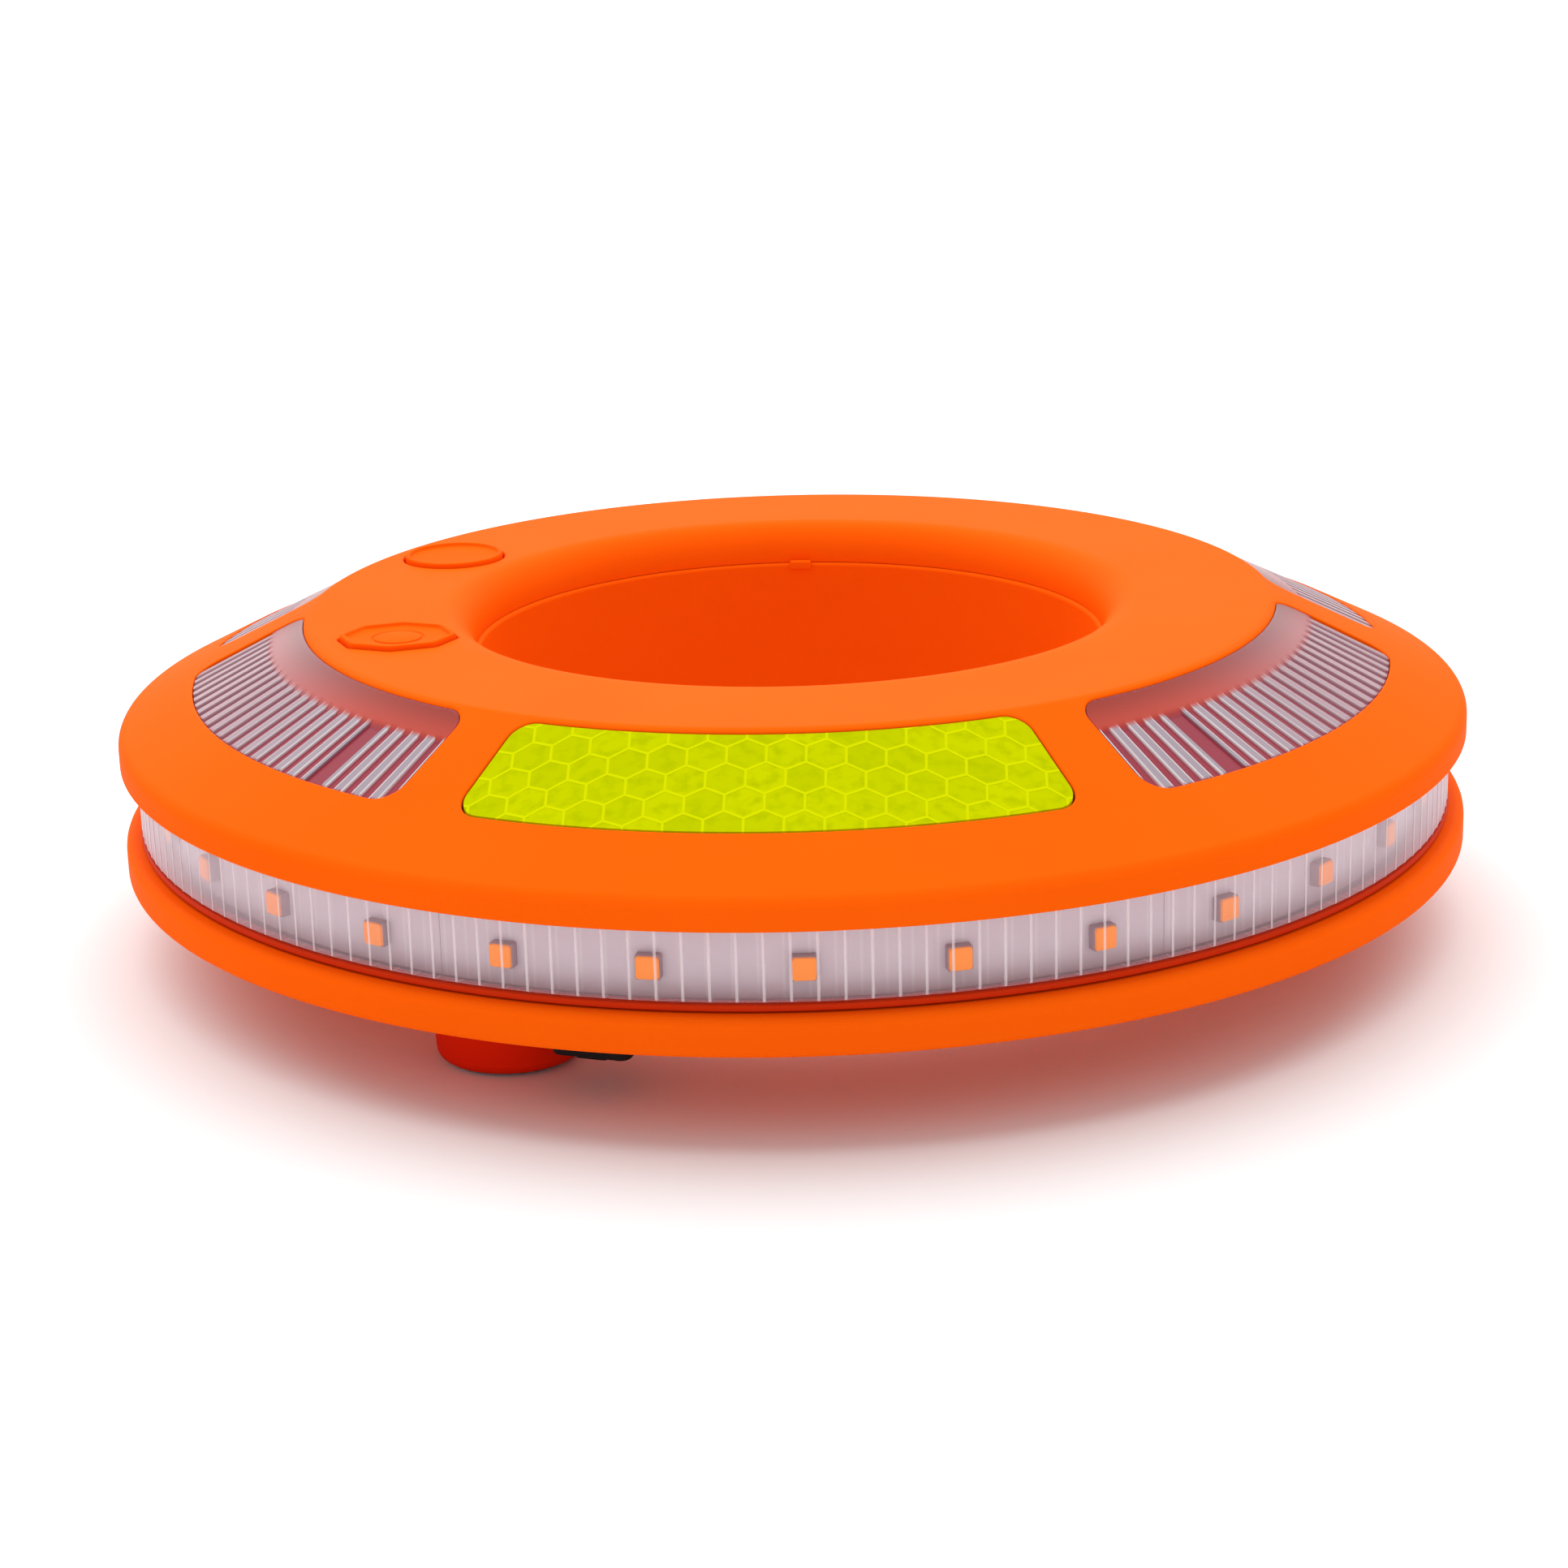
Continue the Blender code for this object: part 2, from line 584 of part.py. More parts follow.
def make_feet():
    """Three round feet: a cup screwed to the base, with a magnet held behind a rubber pad."""
    cup_top = FOOT_H - GAP
    bottom = CUP_BOTTOM_Z
    pocket_r = MAGNET_R + 0.4
    head_r, shank_r, tip = FOOT_SCREW
    head_low = FLOOR_TOP_Z + GAP
    profile = [(FOOT_R - 2.4, cup_top), (FOOT_R, cup_top)]
    profile += arc((FOOT_TIP_R - FOOT_ROUND, bottom + FOOT_ROUND), FOOT_ROUND, 0, -90, 3)
    profile += [
        (pocket_r, bottom),
        (pocket_r, CUP_FLOOR_Z[0]),
        (FOOT_SCREW_HOLE_R, CUP_FLOOR_Z[0]),
        (FOOT_SCREW_HOLE_R, cup_top),
        (CUP_POST_R, cup_top),
        (CUP_POST_R, CUP_FLOOR_Z[1]),
        (9.3, CUP_FLOOR_Z[1]),
    ]
    pieces = {
        "foot_cup": turned("cup", profile, orange_rubber, SMALL_SIDES),
        "foot_magnet": rod("magnet", MAGNET_R, *MAGNET_Z, magnet_nickel, SMALL_SIDES),
        "foot_pad": rod("pad", MAGNET_R, 0.0, PAD_TOP_Z, black_rubber, SMALL_SIDES),
        "foot_screw": screw("foot_bolt", head_r, shank_r, head_low, head_low + 2.0, tip),
    }
    for name, piece in pieces.items():
        place(piece, 0.0, FOOT_RING_R)
        repeat(piece, [f"{name}_{n + 1}" for n in range(len(FOOT_BEARINGS))], FOOT_BEARINGS)


def screw(name, head_r, shank_r, head_low, head_high, tip):
    """Screw on its own axis; the head is between two heights and the shank runs to the tip, up or down."""
    near, far = (head_low, head_high) if tip < head_low else (head_high, head_low)
    profile = [(0.0, far), (head_r, far), (head_r, near), (shank_r, near), (shank_r, tip), (0.0, tip)]
    if tip > head_low:
        profile.reverse()
    return turned(name, profile, screw_steel, SCREW_SIDES, False)


def make_fasteners():
    """Six screws that draw the housings together, and two that hold the board."""
    head_r, shank_r, head_low, tip = COVER_SCREW
    bolt = screw("bolt", head_r, shank_r, head_low, HEAD_SEAT_Z - GAP, tip)
    place(bolt, 0.0, COVER_SCREW_RING_R)
    names = [f"cover_screw_{n + 1}" for n in range(COVER_SCREWS)]
    repeat(bolt, names, [COVER_SCREW_FIRST + n * COVER_SCREW_PITCH for n in range(COVER_SCREWS)])
    head_r, shank_r, head_low, tip = BOARD_SCREW
    bolt = screw("bolt", head_r, shank_r, head_low, BOARD_Z[0] - GAP, tip)
    place(bolt, 0.0, BOARD_SCREW_RING_R)
    repeat(bolt, ["board_screw_1", "board_screw_2"], BOARD_SCREW_BEARINGS)


def make_controls():
    """Control board, two tact switches and the two buttons that press them."""
    board = plate("main_board", sector(*BOARD_R, *BOARD_BEARINGS, 12), *BOARD_Z, board_green)
    notch = rod("board_notch", BOSS_R + 0.6, 40.0, 50.0, None)
    combine(board, place(notch, COVER_SCREW_FIRST - 2 * COVER_SCREW_PITCH, COVER_SCREW_RING_R), "DIFFERENCE")
    for bearing in BOARD_SCREW_BEARINGS:
        hole = rod("board_hole", BOARD_HOLE_R, 40.0, 50.0, None)
        combine(board, place(hole, bearing, BOARD_SCREW_RING_R), "DIFFERENCE")
    for name, at in (("power_switch", POWER_AT), ("mode_switch", MODE_AT)):
        middle_z = BOARD_Z[1] + GAP + SWITCH[2] / 2
        body = block(name, SWITCH, (0.0, 0.0, middle_z), switch_plastic)
        plunger = rod("plunger", PLUNGER_R, PLUNGER_TOP_Z - 1.9, PLUNGER_TOP_Z, None)
        plunger.location = ring_point(*at)
        body.location = ring_point(*at)
        combine(body, plunger, "UNION")
    power = turned("power_button", button_profile(BUTTON_RIM_Z), orange_rubber, 8, False)
    power.location = ring_point(*POWER_AT)
    power.scale = (*POWER_STRETCH, 1.0)
    mode = turned("mode_button", button_profile(BUTTON_RIM_Z), orange_rubber, SMALL_SIDES, False)
    mode.location = ring_point(*MODE_AT)


def make_power_pack():
    """Three cells lying along the ring in their cradles, and the wire loom that joins them to the board."""
    cell = rod("cell", CELL_R, -CELL_LENGTH / 2, CELL_LENGTH / 2, cell_wrap, SMALL_SIDES)
    cell.rotation_euler.y = math.radians(90)
    laid = lay_down(cell, "cell_mesh")
    place(laid, 0.0, CELL_RING_R, CELL_Z)
    repeat(laid, [f"battery_cell_{n + 1}" for n in range(3)], CELL_BEARINGS)
    floor_z = FLOOR_TOP_Z + GAP
    rim_z = CELL_Z - 0.5
    size = (CELL_LENGTH + CRADLE_SPARE, CRADLE_DEPTH, rim_z - floor_z)
    cradle = block("cradle", size, (0.0, 0.0, (rim_z + floor_z) / 2), cradle_plastic)
    trough = rod("trough", CELL_R + 0.4, -CELL_LENGTH / 2 - 0.5, CELL_LENGTH / 2 + 0.5, None, SMALL_SIDES)
    trough.rotation_euler.y = math.radians(90)
    trough.location.z = CELL_Z * MM
    trough.location.y = -CELL_RING_R * MM
    place(cradle, 0.0, CELL_RING_R)
    combine(cradle, trough, "DIFFERENCE")
    repeat(cradle, [f"battery_cradle_{n + 1}" for n in range(3)], CELL_BEARINGS)
    make_loom()


def lay_down(obj, name):
    """The object again with its rotation put into the mesh."""
    mesh = obj.data.copy()
    mesh.transform(obj.rotation_euler.to_matrix().to_4x4())
    bpy.data.objects.remove(obj)
    laid = bpy.data.objects.new(name, mesh)
    parts.objects.link(laid)
    return laid


def make_loom():
    """Wire loom: round the inside of the cells, rising at both ends to the underside of the board."""
    curve = bpy.data.curves.new("loom", "CURVE")
    curve.dimensions = "3D"
    curve.bevel_depth = LOOM_WIRE_R * MM
    curve.bevel_resolution = 1
    curve.use_fill_caps = True
    spline = curve.splines.new("POLY")
    steps = 36
    spline.points.add(steps)
    for i, point in enumerate(spline.points):
        share = i / steps
        ends = max(0.0, 1.0 - share * 8, 1.0 - (1.0 - share) * 8)
        height = LOOM_Z + LOOM_RISE * math.sin(ends * math.pi / 2) ** 2
        point.co = (*ring_point(LOOM_START + share * LOOM_TURN, LOOM_R, height), 1.0)
    as_mesh("wiring_loom", add("loom_curve", curve, None), wire_pvc)


def make_charging_port():
    """Charging socket in the collar under the base, with a black rubber flap on its own tab."""
    port_top = FLOOR_TOP_Z - 0.2
    size = (*PORT_BODY, port_top - PORT_MOUTH_Z)
    port = block("charge_port", size, (0.0, 0.0, (port_top + PORT_MOUTH_Z) / 2), port_steel)
    place(port, PORT_BEARING, PORT_RING_R)
    slot = block("port_slot", PORT_SLOT, (0.0, 0.0, PORT_SLOT_Z), None)
    combine(port, place(slot, PORT_BEARING, PORT_RING_R), "DIFFERENCE")
    hinge_r = PORT_RING_R - FLAP[1] / 2
    hinge_z = COLLAR_Z - GAP
    flap = block("charge_port_flap", FLAP, (0.0, -FLAP[1] / 2, -FLAP[2] / 2), black_rubber)
    place(flap, PORT_BEARING, hinge_r, hinge_z)
    plug = block("flap_plug", FLAP_PLUG, (0.0, -FLAP[1] / 2, 0.0), None)
    combine(flap, place(plug, PORT_BEARING, hinge_r, hinge_z), "UNION")
    tab_low = hinge_z + 2 * GAP     # clear of the flap's edge as it swings down
    tab_high = FOOT_H - GAP
    size = (*FLAP_TAB, tab_high - tab_low)
    tab = block("flap_tab", size, (0.0, 0.0, (tab_high + tab_low) / 2), black_rubber)
    place(tab, PORT_BEARING, hinge_r - GAP - FLAP_TAB[1] / 2)


make_top_cover()
make_base_housing()
make_light_band()
make_windows()
make_feet()
make_fasteners()
make_controls()
make_power_pack()
make_charging_port()
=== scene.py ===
"""Ring-shaped LED warning light for the top of a traffic cone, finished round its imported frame.

Sizes are in millimetres until a mesh is made, and bearings are in degrees about the ring's axis: 0 is the front (-Y)
and 90 is the right (+X). The sections follow the light as it is put together, from the base up.
"""

import bmesh
import bpy
import numpy as np
from mathutils import Matrix, Quaternion, Vector


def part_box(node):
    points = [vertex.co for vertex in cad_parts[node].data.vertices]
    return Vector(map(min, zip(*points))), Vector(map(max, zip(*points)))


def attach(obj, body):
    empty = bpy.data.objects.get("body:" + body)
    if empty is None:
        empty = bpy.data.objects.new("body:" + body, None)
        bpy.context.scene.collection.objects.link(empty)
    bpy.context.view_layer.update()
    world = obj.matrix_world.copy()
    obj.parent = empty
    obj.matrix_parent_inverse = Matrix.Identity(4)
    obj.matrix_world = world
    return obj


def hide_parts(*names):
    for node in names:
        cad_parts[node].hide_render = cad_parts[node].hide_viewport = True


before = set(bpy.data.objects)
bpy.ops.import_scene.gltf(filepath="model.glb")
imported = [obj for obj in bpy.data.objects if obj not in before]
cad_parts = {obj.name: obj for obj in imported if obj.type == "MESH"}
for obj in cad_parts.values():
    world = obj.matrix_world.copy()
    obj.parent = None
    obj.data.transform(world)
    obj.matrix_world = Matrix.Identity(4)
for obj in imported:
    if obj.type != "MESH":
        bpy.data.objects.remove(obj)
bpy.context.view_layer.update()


# Base housing: the lower half of the ring, which carries everything else. It is injection moulded in one piece from
# orange ABS, with an outer rim, a leaning sleeve round the cone hole and six recesses for the closing screws.

MM = 0.001


def span(node):
    """Lowest and highest corner of a frame node in millimetres."""
    return [np.array(corner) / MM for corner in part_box(node)]


def linear(colour):
    """Linear colour from sRGB hex: c / 12.92 up to 0.04045, and ((c + 0.055) / 1.055) ** 2.4 above it."""
    c = np.array([int(colour[i : i + 2], 16) for i in (1, 3, 5)]) / 255
    c = np.where(c <= 0.04045, c / 12.92, ((c + 0.055) / 1.055) ** 2.4)
    return (*c.tolist(), 1.0)


def add_node(tree, kind, inputs=None, **settings):
    """A shader node with its settings; each input takes a value, or is linked where it is given an output."""
    node = tree.nodes.new("ShaderNode" + kind)
    for name, value in settings.items():
        setattr(node, name, value)
    for name, value in (inputs or {}).items():
        if isinstance(value, bpy.types.NodeSocket):
            tree.links.new(value, node.inputs[name])
        else:
            node.inputs[name].default_value = value
    return node


def material_with(name, **sockets):
    """A new material, its node tree and its Principled shader, with sockets set by their names."""
    material = bpy.data.materials.new(name)
    material.use_nodes = True
    shader = material.node_tree.nodes["Principled BSDF"]
    for socket, value in sockets.items():
        shader.inputs[socket.replace("_", " ")].default_value = value
    return material, material.node_tree, shader


DRIFT = 25.0


def moulded(name, colour, shade, gloss, grain, depth, **sockets):
    """Moulded plastic or rubber. Its colour drifts towards shade over patches 25 mm across, and grains of the given
    size and depth in millimetres roughen it and vary its roughness between the two values of gloss."""
    material, tree, shader = material_with(name, **sockets)
    where = add_node(tree, "TexCoord").outputs["Object"]
    drift = add_node(tree, "TexNoise", {"Vector": where, "Scale": 1 / (DRIFT * MM), "Detail": 2.0})
    blend = add_node(tree, "Mix", {0: drift.outputs["Fac"], 6: linear(colour), 7: linear(shade)}, data_type="RGBA")
    tree.links.new(blend.outputs[2], shader.inputs["Base Color"])
    grains = add_node(tree, "TexNoise", {"Vector": where, "Scale": 1 / (grain * MM), "Detail": 3.0})
    rough = add_node(tree, "MapRange", {"Value": grains.outputs["Fac"], "To Min": gloss[0], "To Max": gloss[1]})
    tree.links.new(rough.outputs["Result"], shader.inputs["Roughness"])
    relief = add_node(tree, "Bump", {"Height": grains.outputs["Fac"], "Distance": depth * MM})
    tree.links.new(relief.outputs["Normal"], shader.inputs["Normal"])
    return material


def turn(radius, bearing, height):
    """Points (r sin b, -r cos b, z) of arrays of radius, bearing and height."""
    radius, bearing, height = np.broadcast_arrays(radius, np.radians(bearing), height)
    return np.stack([radius * np.sin(bearing), -radius * np.cos(bearing), height], axis=-1)


BESIDE = 0.08


def rounded(corners, steps=6):
    """Half section from (radius, height, rounding) corners. A rounding becomes an arc that touches both sides,
    rounding / tan(half the corner's angle) from the corner. A row just beside each end of the arc keeps the flats
    flat."""
    rows = []
    for n, (r, z, rounding) in enumerate(corners):
        here = np.array([r, z])
        if not rounding:
            rows.append(here[None])
            continue
        sides = [np.array(corners[(n + step) % len(corners)][:2]) - here for step in (-1, 1)]
        sides = [side / np.linalg.norm(side) for side in sides]
        half = np.arccos(np.clip(sides[0] @ sides[1], -1, 1)) / 2
        middle = here + (sides[0] + sides[1]) / (2 * np.cos(half)) * rounding / np.sin(half)
        ends = [here + side * rounding / np.tan(half) for side in sides]
        first, last = [np.arctan2(*(end - middle)[::-1]) for end in ends]
        sweep = (last - first + np.pi) % (2 * np.pi) - np.pi
        angle = first + sweep * np.linspace(0, 1, steps + 1)
        arc = middle + rounding * np.stack([np.cos(angle), np.sin(angle)], axis=1)
        rows.append(np.concatenate([[ends[0] + sides[0] * BESIDE], arc, [ends[1] + sides[1] * BESIDE]]))
    return np.concatenate(rows)


def with_rows(rows, radii, rising):
    """The half section with rows added where it crosses each radius, on its rising or its falling skin."""
    for radius in radii:
        r = rows[:, 0]
        after = np.roll(r, -1)
        crosses = (r < radius) & (after > radius) if rising else (r > radius) & (after < radius)
        if abs(r - radius).min() < 1e-6 and not crosses.any():
            continue
        n = int(np.flatnonzero(crosses)[0])
        share = (radius - r[n]) / (after[n] - r[n])
        new = rows[n] + share * (np.roll(rows, -1, axis=0)[n] - rows[n])
        rows = np.insert(rows, n + 1, new, axis=0)
    return rows


def quads(columns, rows, round_columns=False, round_rows=False):
    """Faces of a grid of points, joined end to end where it goes round."""
    i, j = np.meshgrid(
        np.arange(columns - (not round_columns)), np.arange(rows - (not round_rows)), indexing="ij"
    )
    right, up = (i + 1) % columns, (j + 1) % rows
    return np.stack([i * rows + j, right * rows + j, right * rows + up, i * rows + up], axis=-1)


def mesh_piece(name, parts, material, sharp=32.0, tint=None):
    """An object from (points, faces) parts. Points that meet are welded, faces are turned outwards, and edges
    sharper than the angle stay sharp. Tint is a colour at each point, kept in the attribute of that name."""
    points = np.concatenate([np.reshape(p, (-1, 3)) for p, _ in parts])
    starts = np.cumsum([0] + [np.reshape(p, (-1, 3)).shape[0] for p, _ in parts])
    faces = np.concatenate([np.reshape(f, (-1, 4)) + start for (_, f), start in zip(parts, starts)])
    mesh = bpy.data.meshes.new(name)
    mesh.from_pydata(points * MM, [], faces.tolist())
    if tint is not None:
        layer = mesh.attributes.new("tint", "FLOAT_COLOR", "POINT")
        layer.data.foreach_set("color", np.reshape(tint, -1).astype(np.float32))
    work = bmesh.new()
    work.from_mesh(mesh)
    bmesh.ops.remove_doubles(work, verts=work.verts, dist=1e-6)
    bmesh.ops.recalc_face_normals(work, faces=work.faces)
    work.to_mesh(mesh)
    work.free()
    mesh.shade_smooth()
    mesh.set_sharp_from_angle(angle=np.radians(sharp))
    mesh.materials.append(material)
    piece = bpy.data.objects.new(name, mesh)
    bpy.context.scene.collection.objects.link(piece)
    return piece


def patch_edge(columns, rows):
    """Numbers of the grid's columns and rows round a patch of it: along its first row, up its last column, back along
    its last row and down its first column."""
    across = np.arange(columns[0], columns[1])
    up = np.arange(rows[0], rows[1])
    column = np.concatenate([across, up * 0 + columns[1], across[::-1] + 1, up * 0 + columns[0]])
    row = np.concatenate([across * 0 + rows[0], up, across * 0 + rows[1], up[::-1] + 1])
    return column, row


def at_bearing(points, bearing, radius=0.0, height=0.0):
    """Points made round the origin, facing the front, turned to a bearing and set out at a radius and height."""
    b = np.radians(bearing)
    across, along = points[..., 0], points[..., 1] - radius
    return np.stack(
        [across * np.cos(b) - along * np.sin(b), across * np.sin(b) + along * np.cos(b), points[..., 2] + height],
        axis=-1,
    )


def circle(radius, count, start):
    """Points of a circle in the plan, beginning at an angle."""
    angle = start + 2 * np.pi * np.arange(count) / count
    return np.stack([radius * np.cos(angle), radius * np.sin(angle)], axis=-1)


def lifted(plan, height):
    """Plan points with a height, or an array of heights, as a third coordinate."""
    return np.concatenate([plan, np.broadcast_to(height, plan.shape[:-1])[..., None]], axis=-1)


# Spark-finish ABS, left as it comes from the mould: an even satin orange, with a grain of about a third of a
# millimetre that only softens the highlights.
housing_abs = moulded(
    "moulded_orange_abs", "#FD6108", "#FB5C05", (0.46, 0.6), 0.35, 0.006, Specular_IOR_Level=0.005
)

RING_R = span("top_cover")[1][0]
FOOT_TOP_Z = span("foot_cup_1")[1][2]
UNDERSIDE_Z = FOOT_TOP_Z + 0.3
FLOOR_Z = UNDERSIDE_Z + 2.5
SEAM_Z = 48.0
SLEEVE_TOP_R = 53.2
SLEEVE_FOOT_R = 56.0
WALL = 2.4
RIM_TOP_Z = 21.0
RIM_INNER_R = 109.0
SCREWS = 6
SCREW_RING_R = 64.0
SCREW_FIRST = 24.4
POCKET_R = 3.4
POCKET_SEAT_Z = 17.8
POCKET_RADII = np.linspace(59.5, 68.5, 8)
POCKET_COLUMNS = (5, 6)

base_rows = rounded([
    (SLEEVE_TOP_R, SEAM_Z, 0.6),
    (SLEEVE_TOP_R + WALL, SEAM_Z, 0.4),
    (SLEEVE_FOOT_R + WALL, FLOOR_Z, 0.5),
    (RIM_INNER_R, FLOOR_Z, 0.5),
    (RIM_INNER_R, RIM_TOP_Z, 0.4),
    (RING_R, RIM_TOP_Z, 1.5),
    (RING_R, UNDERSIDE_Z, 1.1),
    (SLEEVE_FOOT_R, UNDERSIDE_Z, 1.2),
])
base_rows = with_rows(base_rows, POCKET_RADII, rising=False)
ring_bearings = np.arange(360.0)
base_points = turn(base_rows[None, :, 0], ring_bearings[:, None], base_rows[None, :, 1])
base_faces = quads(360, len(base_rows), True, True)
base_parts = []
low_row, high_row = sorted(
    int(np.flatnonzero((abs(base_rows[:, 0] - r) < 1e-6) & (base_rows[:, 1] < UNDERSIDE_Z + 0.01))[0])
    for r in POCKET_RADII[[0, -1]]
)
for n in range(SCREWS):
    bearing = SCREW_FIRST + 60 * n
    columns = (int(bearing) - POCKET_COLUMNS[0], int(bearing) + POCKET_COLUMNS[1])
    base_faces[np.arange(*columns) % 360, low_row:high_row] = 0
    column, row = patch_edge(columns, (low_row, high_row))
    patch = base_points[column % 360, row]
    centre = turn(SCREW_RING_R, bearing, 0.0)[:2]
    start = np.arctan2(*(patch[0, :2] - centre)[::-1])
    rings = [patch]
    for radius, height in (
        (POCKET_R + 0.5, UNDERSIDE_Z), (POCKET_R + 0.3, UNDERSIDE_Z), (POCKET_R + 0.09, UNDERSIDE_Z + 0.09),
        (POCKET_R, UNDERSIDE_Z + 0.3), (POCKET_R, POCKET_SEAT_Z), (0.0, POCKET_SEAT_Z),
    ):
        rings.append(lifted(centre + circle(radius, len(patch), start), height))
    base_parts.append((np.stack(rings), quads(len(rings), len(patch), False, True)))
base_parts.insert(0, (base_points, base_faces[base_faces.any(axis=-1)]))
base = mesh_piece("base_moulding", base_parts, housing_abs)
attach(base, "housing")
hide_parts("base_housing")


# The small locating nub on the sleeve's upper edge, moulded with it. It keys into the cover when the halves close.

NUB = (2.0, 0.6, 0.8)


def stacked(outline, levels):
    """Closed piece from an outline, one ring for each (inset, height) level, and both ends closed at the middle."""
    middle = outline(0.0).mean(axis=0)
    rings = [lifted(outline(inset), height) for inset, height in levels]
    ends = [lifted(np.broadcast_to(middle, rings[0][:, :2].shape), height) for height in (levels[0][1], levels[-1][1])]
    rings = np.stack([ends[0]] + rings + [ends[1]])
    return rings, quads(len(rings), rings.shape[1], False, True)


def soft_box(half_x, half_y, corner, count=10):
    """Outline function of a rectangle with round corners: inset draws every side in and the corners with it."""
    def outline(inset):
        radius = max(corner - inset, 0.02)
        angle = np.concatenate([np.linspace(q, q + np.pi / 2, count) for q in np.arange(4) * np.pi / 2])
        side = np.repeat([[1, 1], [-1, 1], [-1, -1], [1, -1]], count, axis=0)
        centre = side * [half_x - inset - radius, half_y - inset - radius]
        return centre + radius * np.stack([np.cos(angle), np.sin(angle)], axis=-1)
    return outline


def eased(low, high, ease, steps=4):
    """(inset, height) levels from low to high with both rims rounded by a quarter circle."""
    q = np.linspace(0, np.pi / 2, steps + 1)
    start = [(ease * (1 - np.sin(a)), low + ease * (1 - np.cos(a))) for a in q]
    end = [(ease * (1 - np.sin(a)), high - ease * (1 - np.cos(a))) for a in q[::-1]]
    return [(start[0][0] + 0.05, low)] + start + end + [(end[-1][0] + 0.05, high)]


nub_points, nub_faces = stacked(soft_box(NUB[0], NUB[1], 0.5), eased(-NUB[2], NUB[2], 0.35))
nub = mesh_piece(
    "seam_nub", [(at_bearing(nub_points, 180.0, SLEEVE_TOP_R - 0.2, SEAM_Z - 0.2), nub_faces)], housing_abs
)
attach(nub, "housing")


# Charging port: a collar under the base with a steel socket set in it, and a black rubber flap on a tab of its own.
# The flap swings down and in towards the cone hole.

port_low, port_high = span("charge_port")
tab_low, tab_high = span("flap_tab")
PORT_BEARING = np.degrees(np.arctan2(*((port_low + port_high)[:2] * [1, -1])))
PORT_RING_R = 92.0
COLLAR = (6.5, 5.5)
COLLAR_Z = 9.2
PORT_POCKET = (4.8, 1.95)
FLAP = (6.3, 5.5, 2.0)
FLAP_TAB = (4.5, 1.5)
FLAP_GAP = 0.3
FLAP_PLUG = (4.2, 1.3)
FLAP_LIP = (2.6, 0.8)
FLAP_LIP_Y = -3.9


def tube_levels(outer, inner, low, high, ease):
    """Closed wall between two outlines, its lower rim rounded outside and in."""
    q = np.linspace(0, np.pi / 2, 5)
    rings = [lifted(outer(0.0), high)]
    rings += [lifted(outer(ease * (1 - np.cos(a))), low + ease * (1 - np.sin(a))) for a in q]
    rings += [lifted(inner(-ease * (1 - np.sin(a))), low + ease * (1 - np.cos(a))) for a in q]
    rings += [lifted(inner(0.0), high)]
    rings = np.stack(rings)
    return rings, quads(len(rings), rings.shape[1], True, True)


collar_points, collar_faces = tube_levels(
    soft_box(*COLLAR, 1.6), soft_box(*PORT_POCKET, 0.9), COLLAR_Z, UNDERSIDE_Z + 0.6, 0.35
)
collar = mesh_piece("port_collar", [(at_bearing(collar_points, PORT_BEARING, PORT_RING_R), collar_faces)], housing_abs)
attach(collar, "housing")

# Drawn steel shell, lightly brushed along the draw: bright, with fine upright lines about 0.15 mm apart.
port_steel, tree, shader = material_with("drawn_steel", Metallic=1.0)
shader.inputs["Base Color"].default_value = linear("#B9BABD")
where = add_node(tree, "TexCoord").outputs["Object"]
drawn = add_node(tree, "Mapping", {"Vector": where, "Scale": (1.0, 1.0, 0.04)})
lines = add_node(tree, "TexNoise", {"Vector": drawn.outputs[0], "Scale": 1 / (0.15 * MM), "Detail": 2.0})
rough = add_node(tree, "MapRange", {"Value": lines.outputs["Fac"], "To Min": 0.22, "To Max": 0.42})
tree.links.new(rough.outputs["Result"], shader.inputs["Roughness"])

# Moulded EPDM rubber: nearly black, matt, with a slight bloom and a fine grain.
black_epdm = moulded("moulded_black_epdm", "#161315", "#1D191B", (0.62, 0.8), 0.4, 0.01, Specular_IOR_Level=0.15)


def dress(material, *names):
    """Gives frame nodes a material in each of their slots."""
    for name in names:
        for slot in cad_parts[name].material_slots:
            slot.material = material


dress(port_steel, "charge_port")
# The flap is black rubber, and its black also stands for the deep shade under the base beside the foot: partly painted
# shade.
flap_points, flap_faces = stacked(
    soft_box(FLAP[0], FLAP[1], 1.6), eased(COLLAR_Z - FLAP[2] - FLAP_GAP, COLLAR_Z - FLAP_GAP, 0.5)
)
plug_points, plug_faces = stacked(soft_box(*FLAP_PLUG, 0.6), eased(COLLAR_Z - 0.6, COLLAR_Z + 0.2, 0.25))
lip_points, lip_faces = stacked(soft_box(*FLAP_LIP, 0.7), eased(COLLAR_Z - 2.75, COLLAR_Z - 2.0, 0.3))
flap = mesh_piece(
    "charge_port_cover",
    [
        (at_bearing(flap_points, PORT_BEARING, PORT_RING_R), flap_faces),
        (at_bearing(plug_points, PORT_BEARING, PORT_RING_R), plug_faces),
        (at_bearing(lip_points + [0.0, FLAP_LIP_Y, 0.0], PORT_BEARING, PORT_RING_R), lip_faces),
    ],
    black_epdm,
)
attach(flap, "port_flap")
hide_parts("charge_port_flap")

tab_points, tab_faces = stacked(soft_box(*FLAP_TAB, 0.8), eased(tab_low[2], tab_high[2], 0.4))
tab_r = PORT_RING_R - FLAP[1] - FLAP_GAP - FLAP_TAB[1]
tab = mesh_piece("flap_tab_moulding", [(at_bearing(tab_points, PORT_BEARING, tab_r), tab_faces)], black_epdm)
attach(tab, "housing")
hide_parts("flap_tab")


# Feet: three soft cups screwed to the base, each with a magnet pressed in behind a ribbed rubber pad, so that the
# light also holds to a steel panel.

FOOT_RING_R = 84.0
FOOT_R = 12.3
FOOT_TIP_R = 11.6
FOOT_POCKET_R = 9.6
PAD_R = 9.2


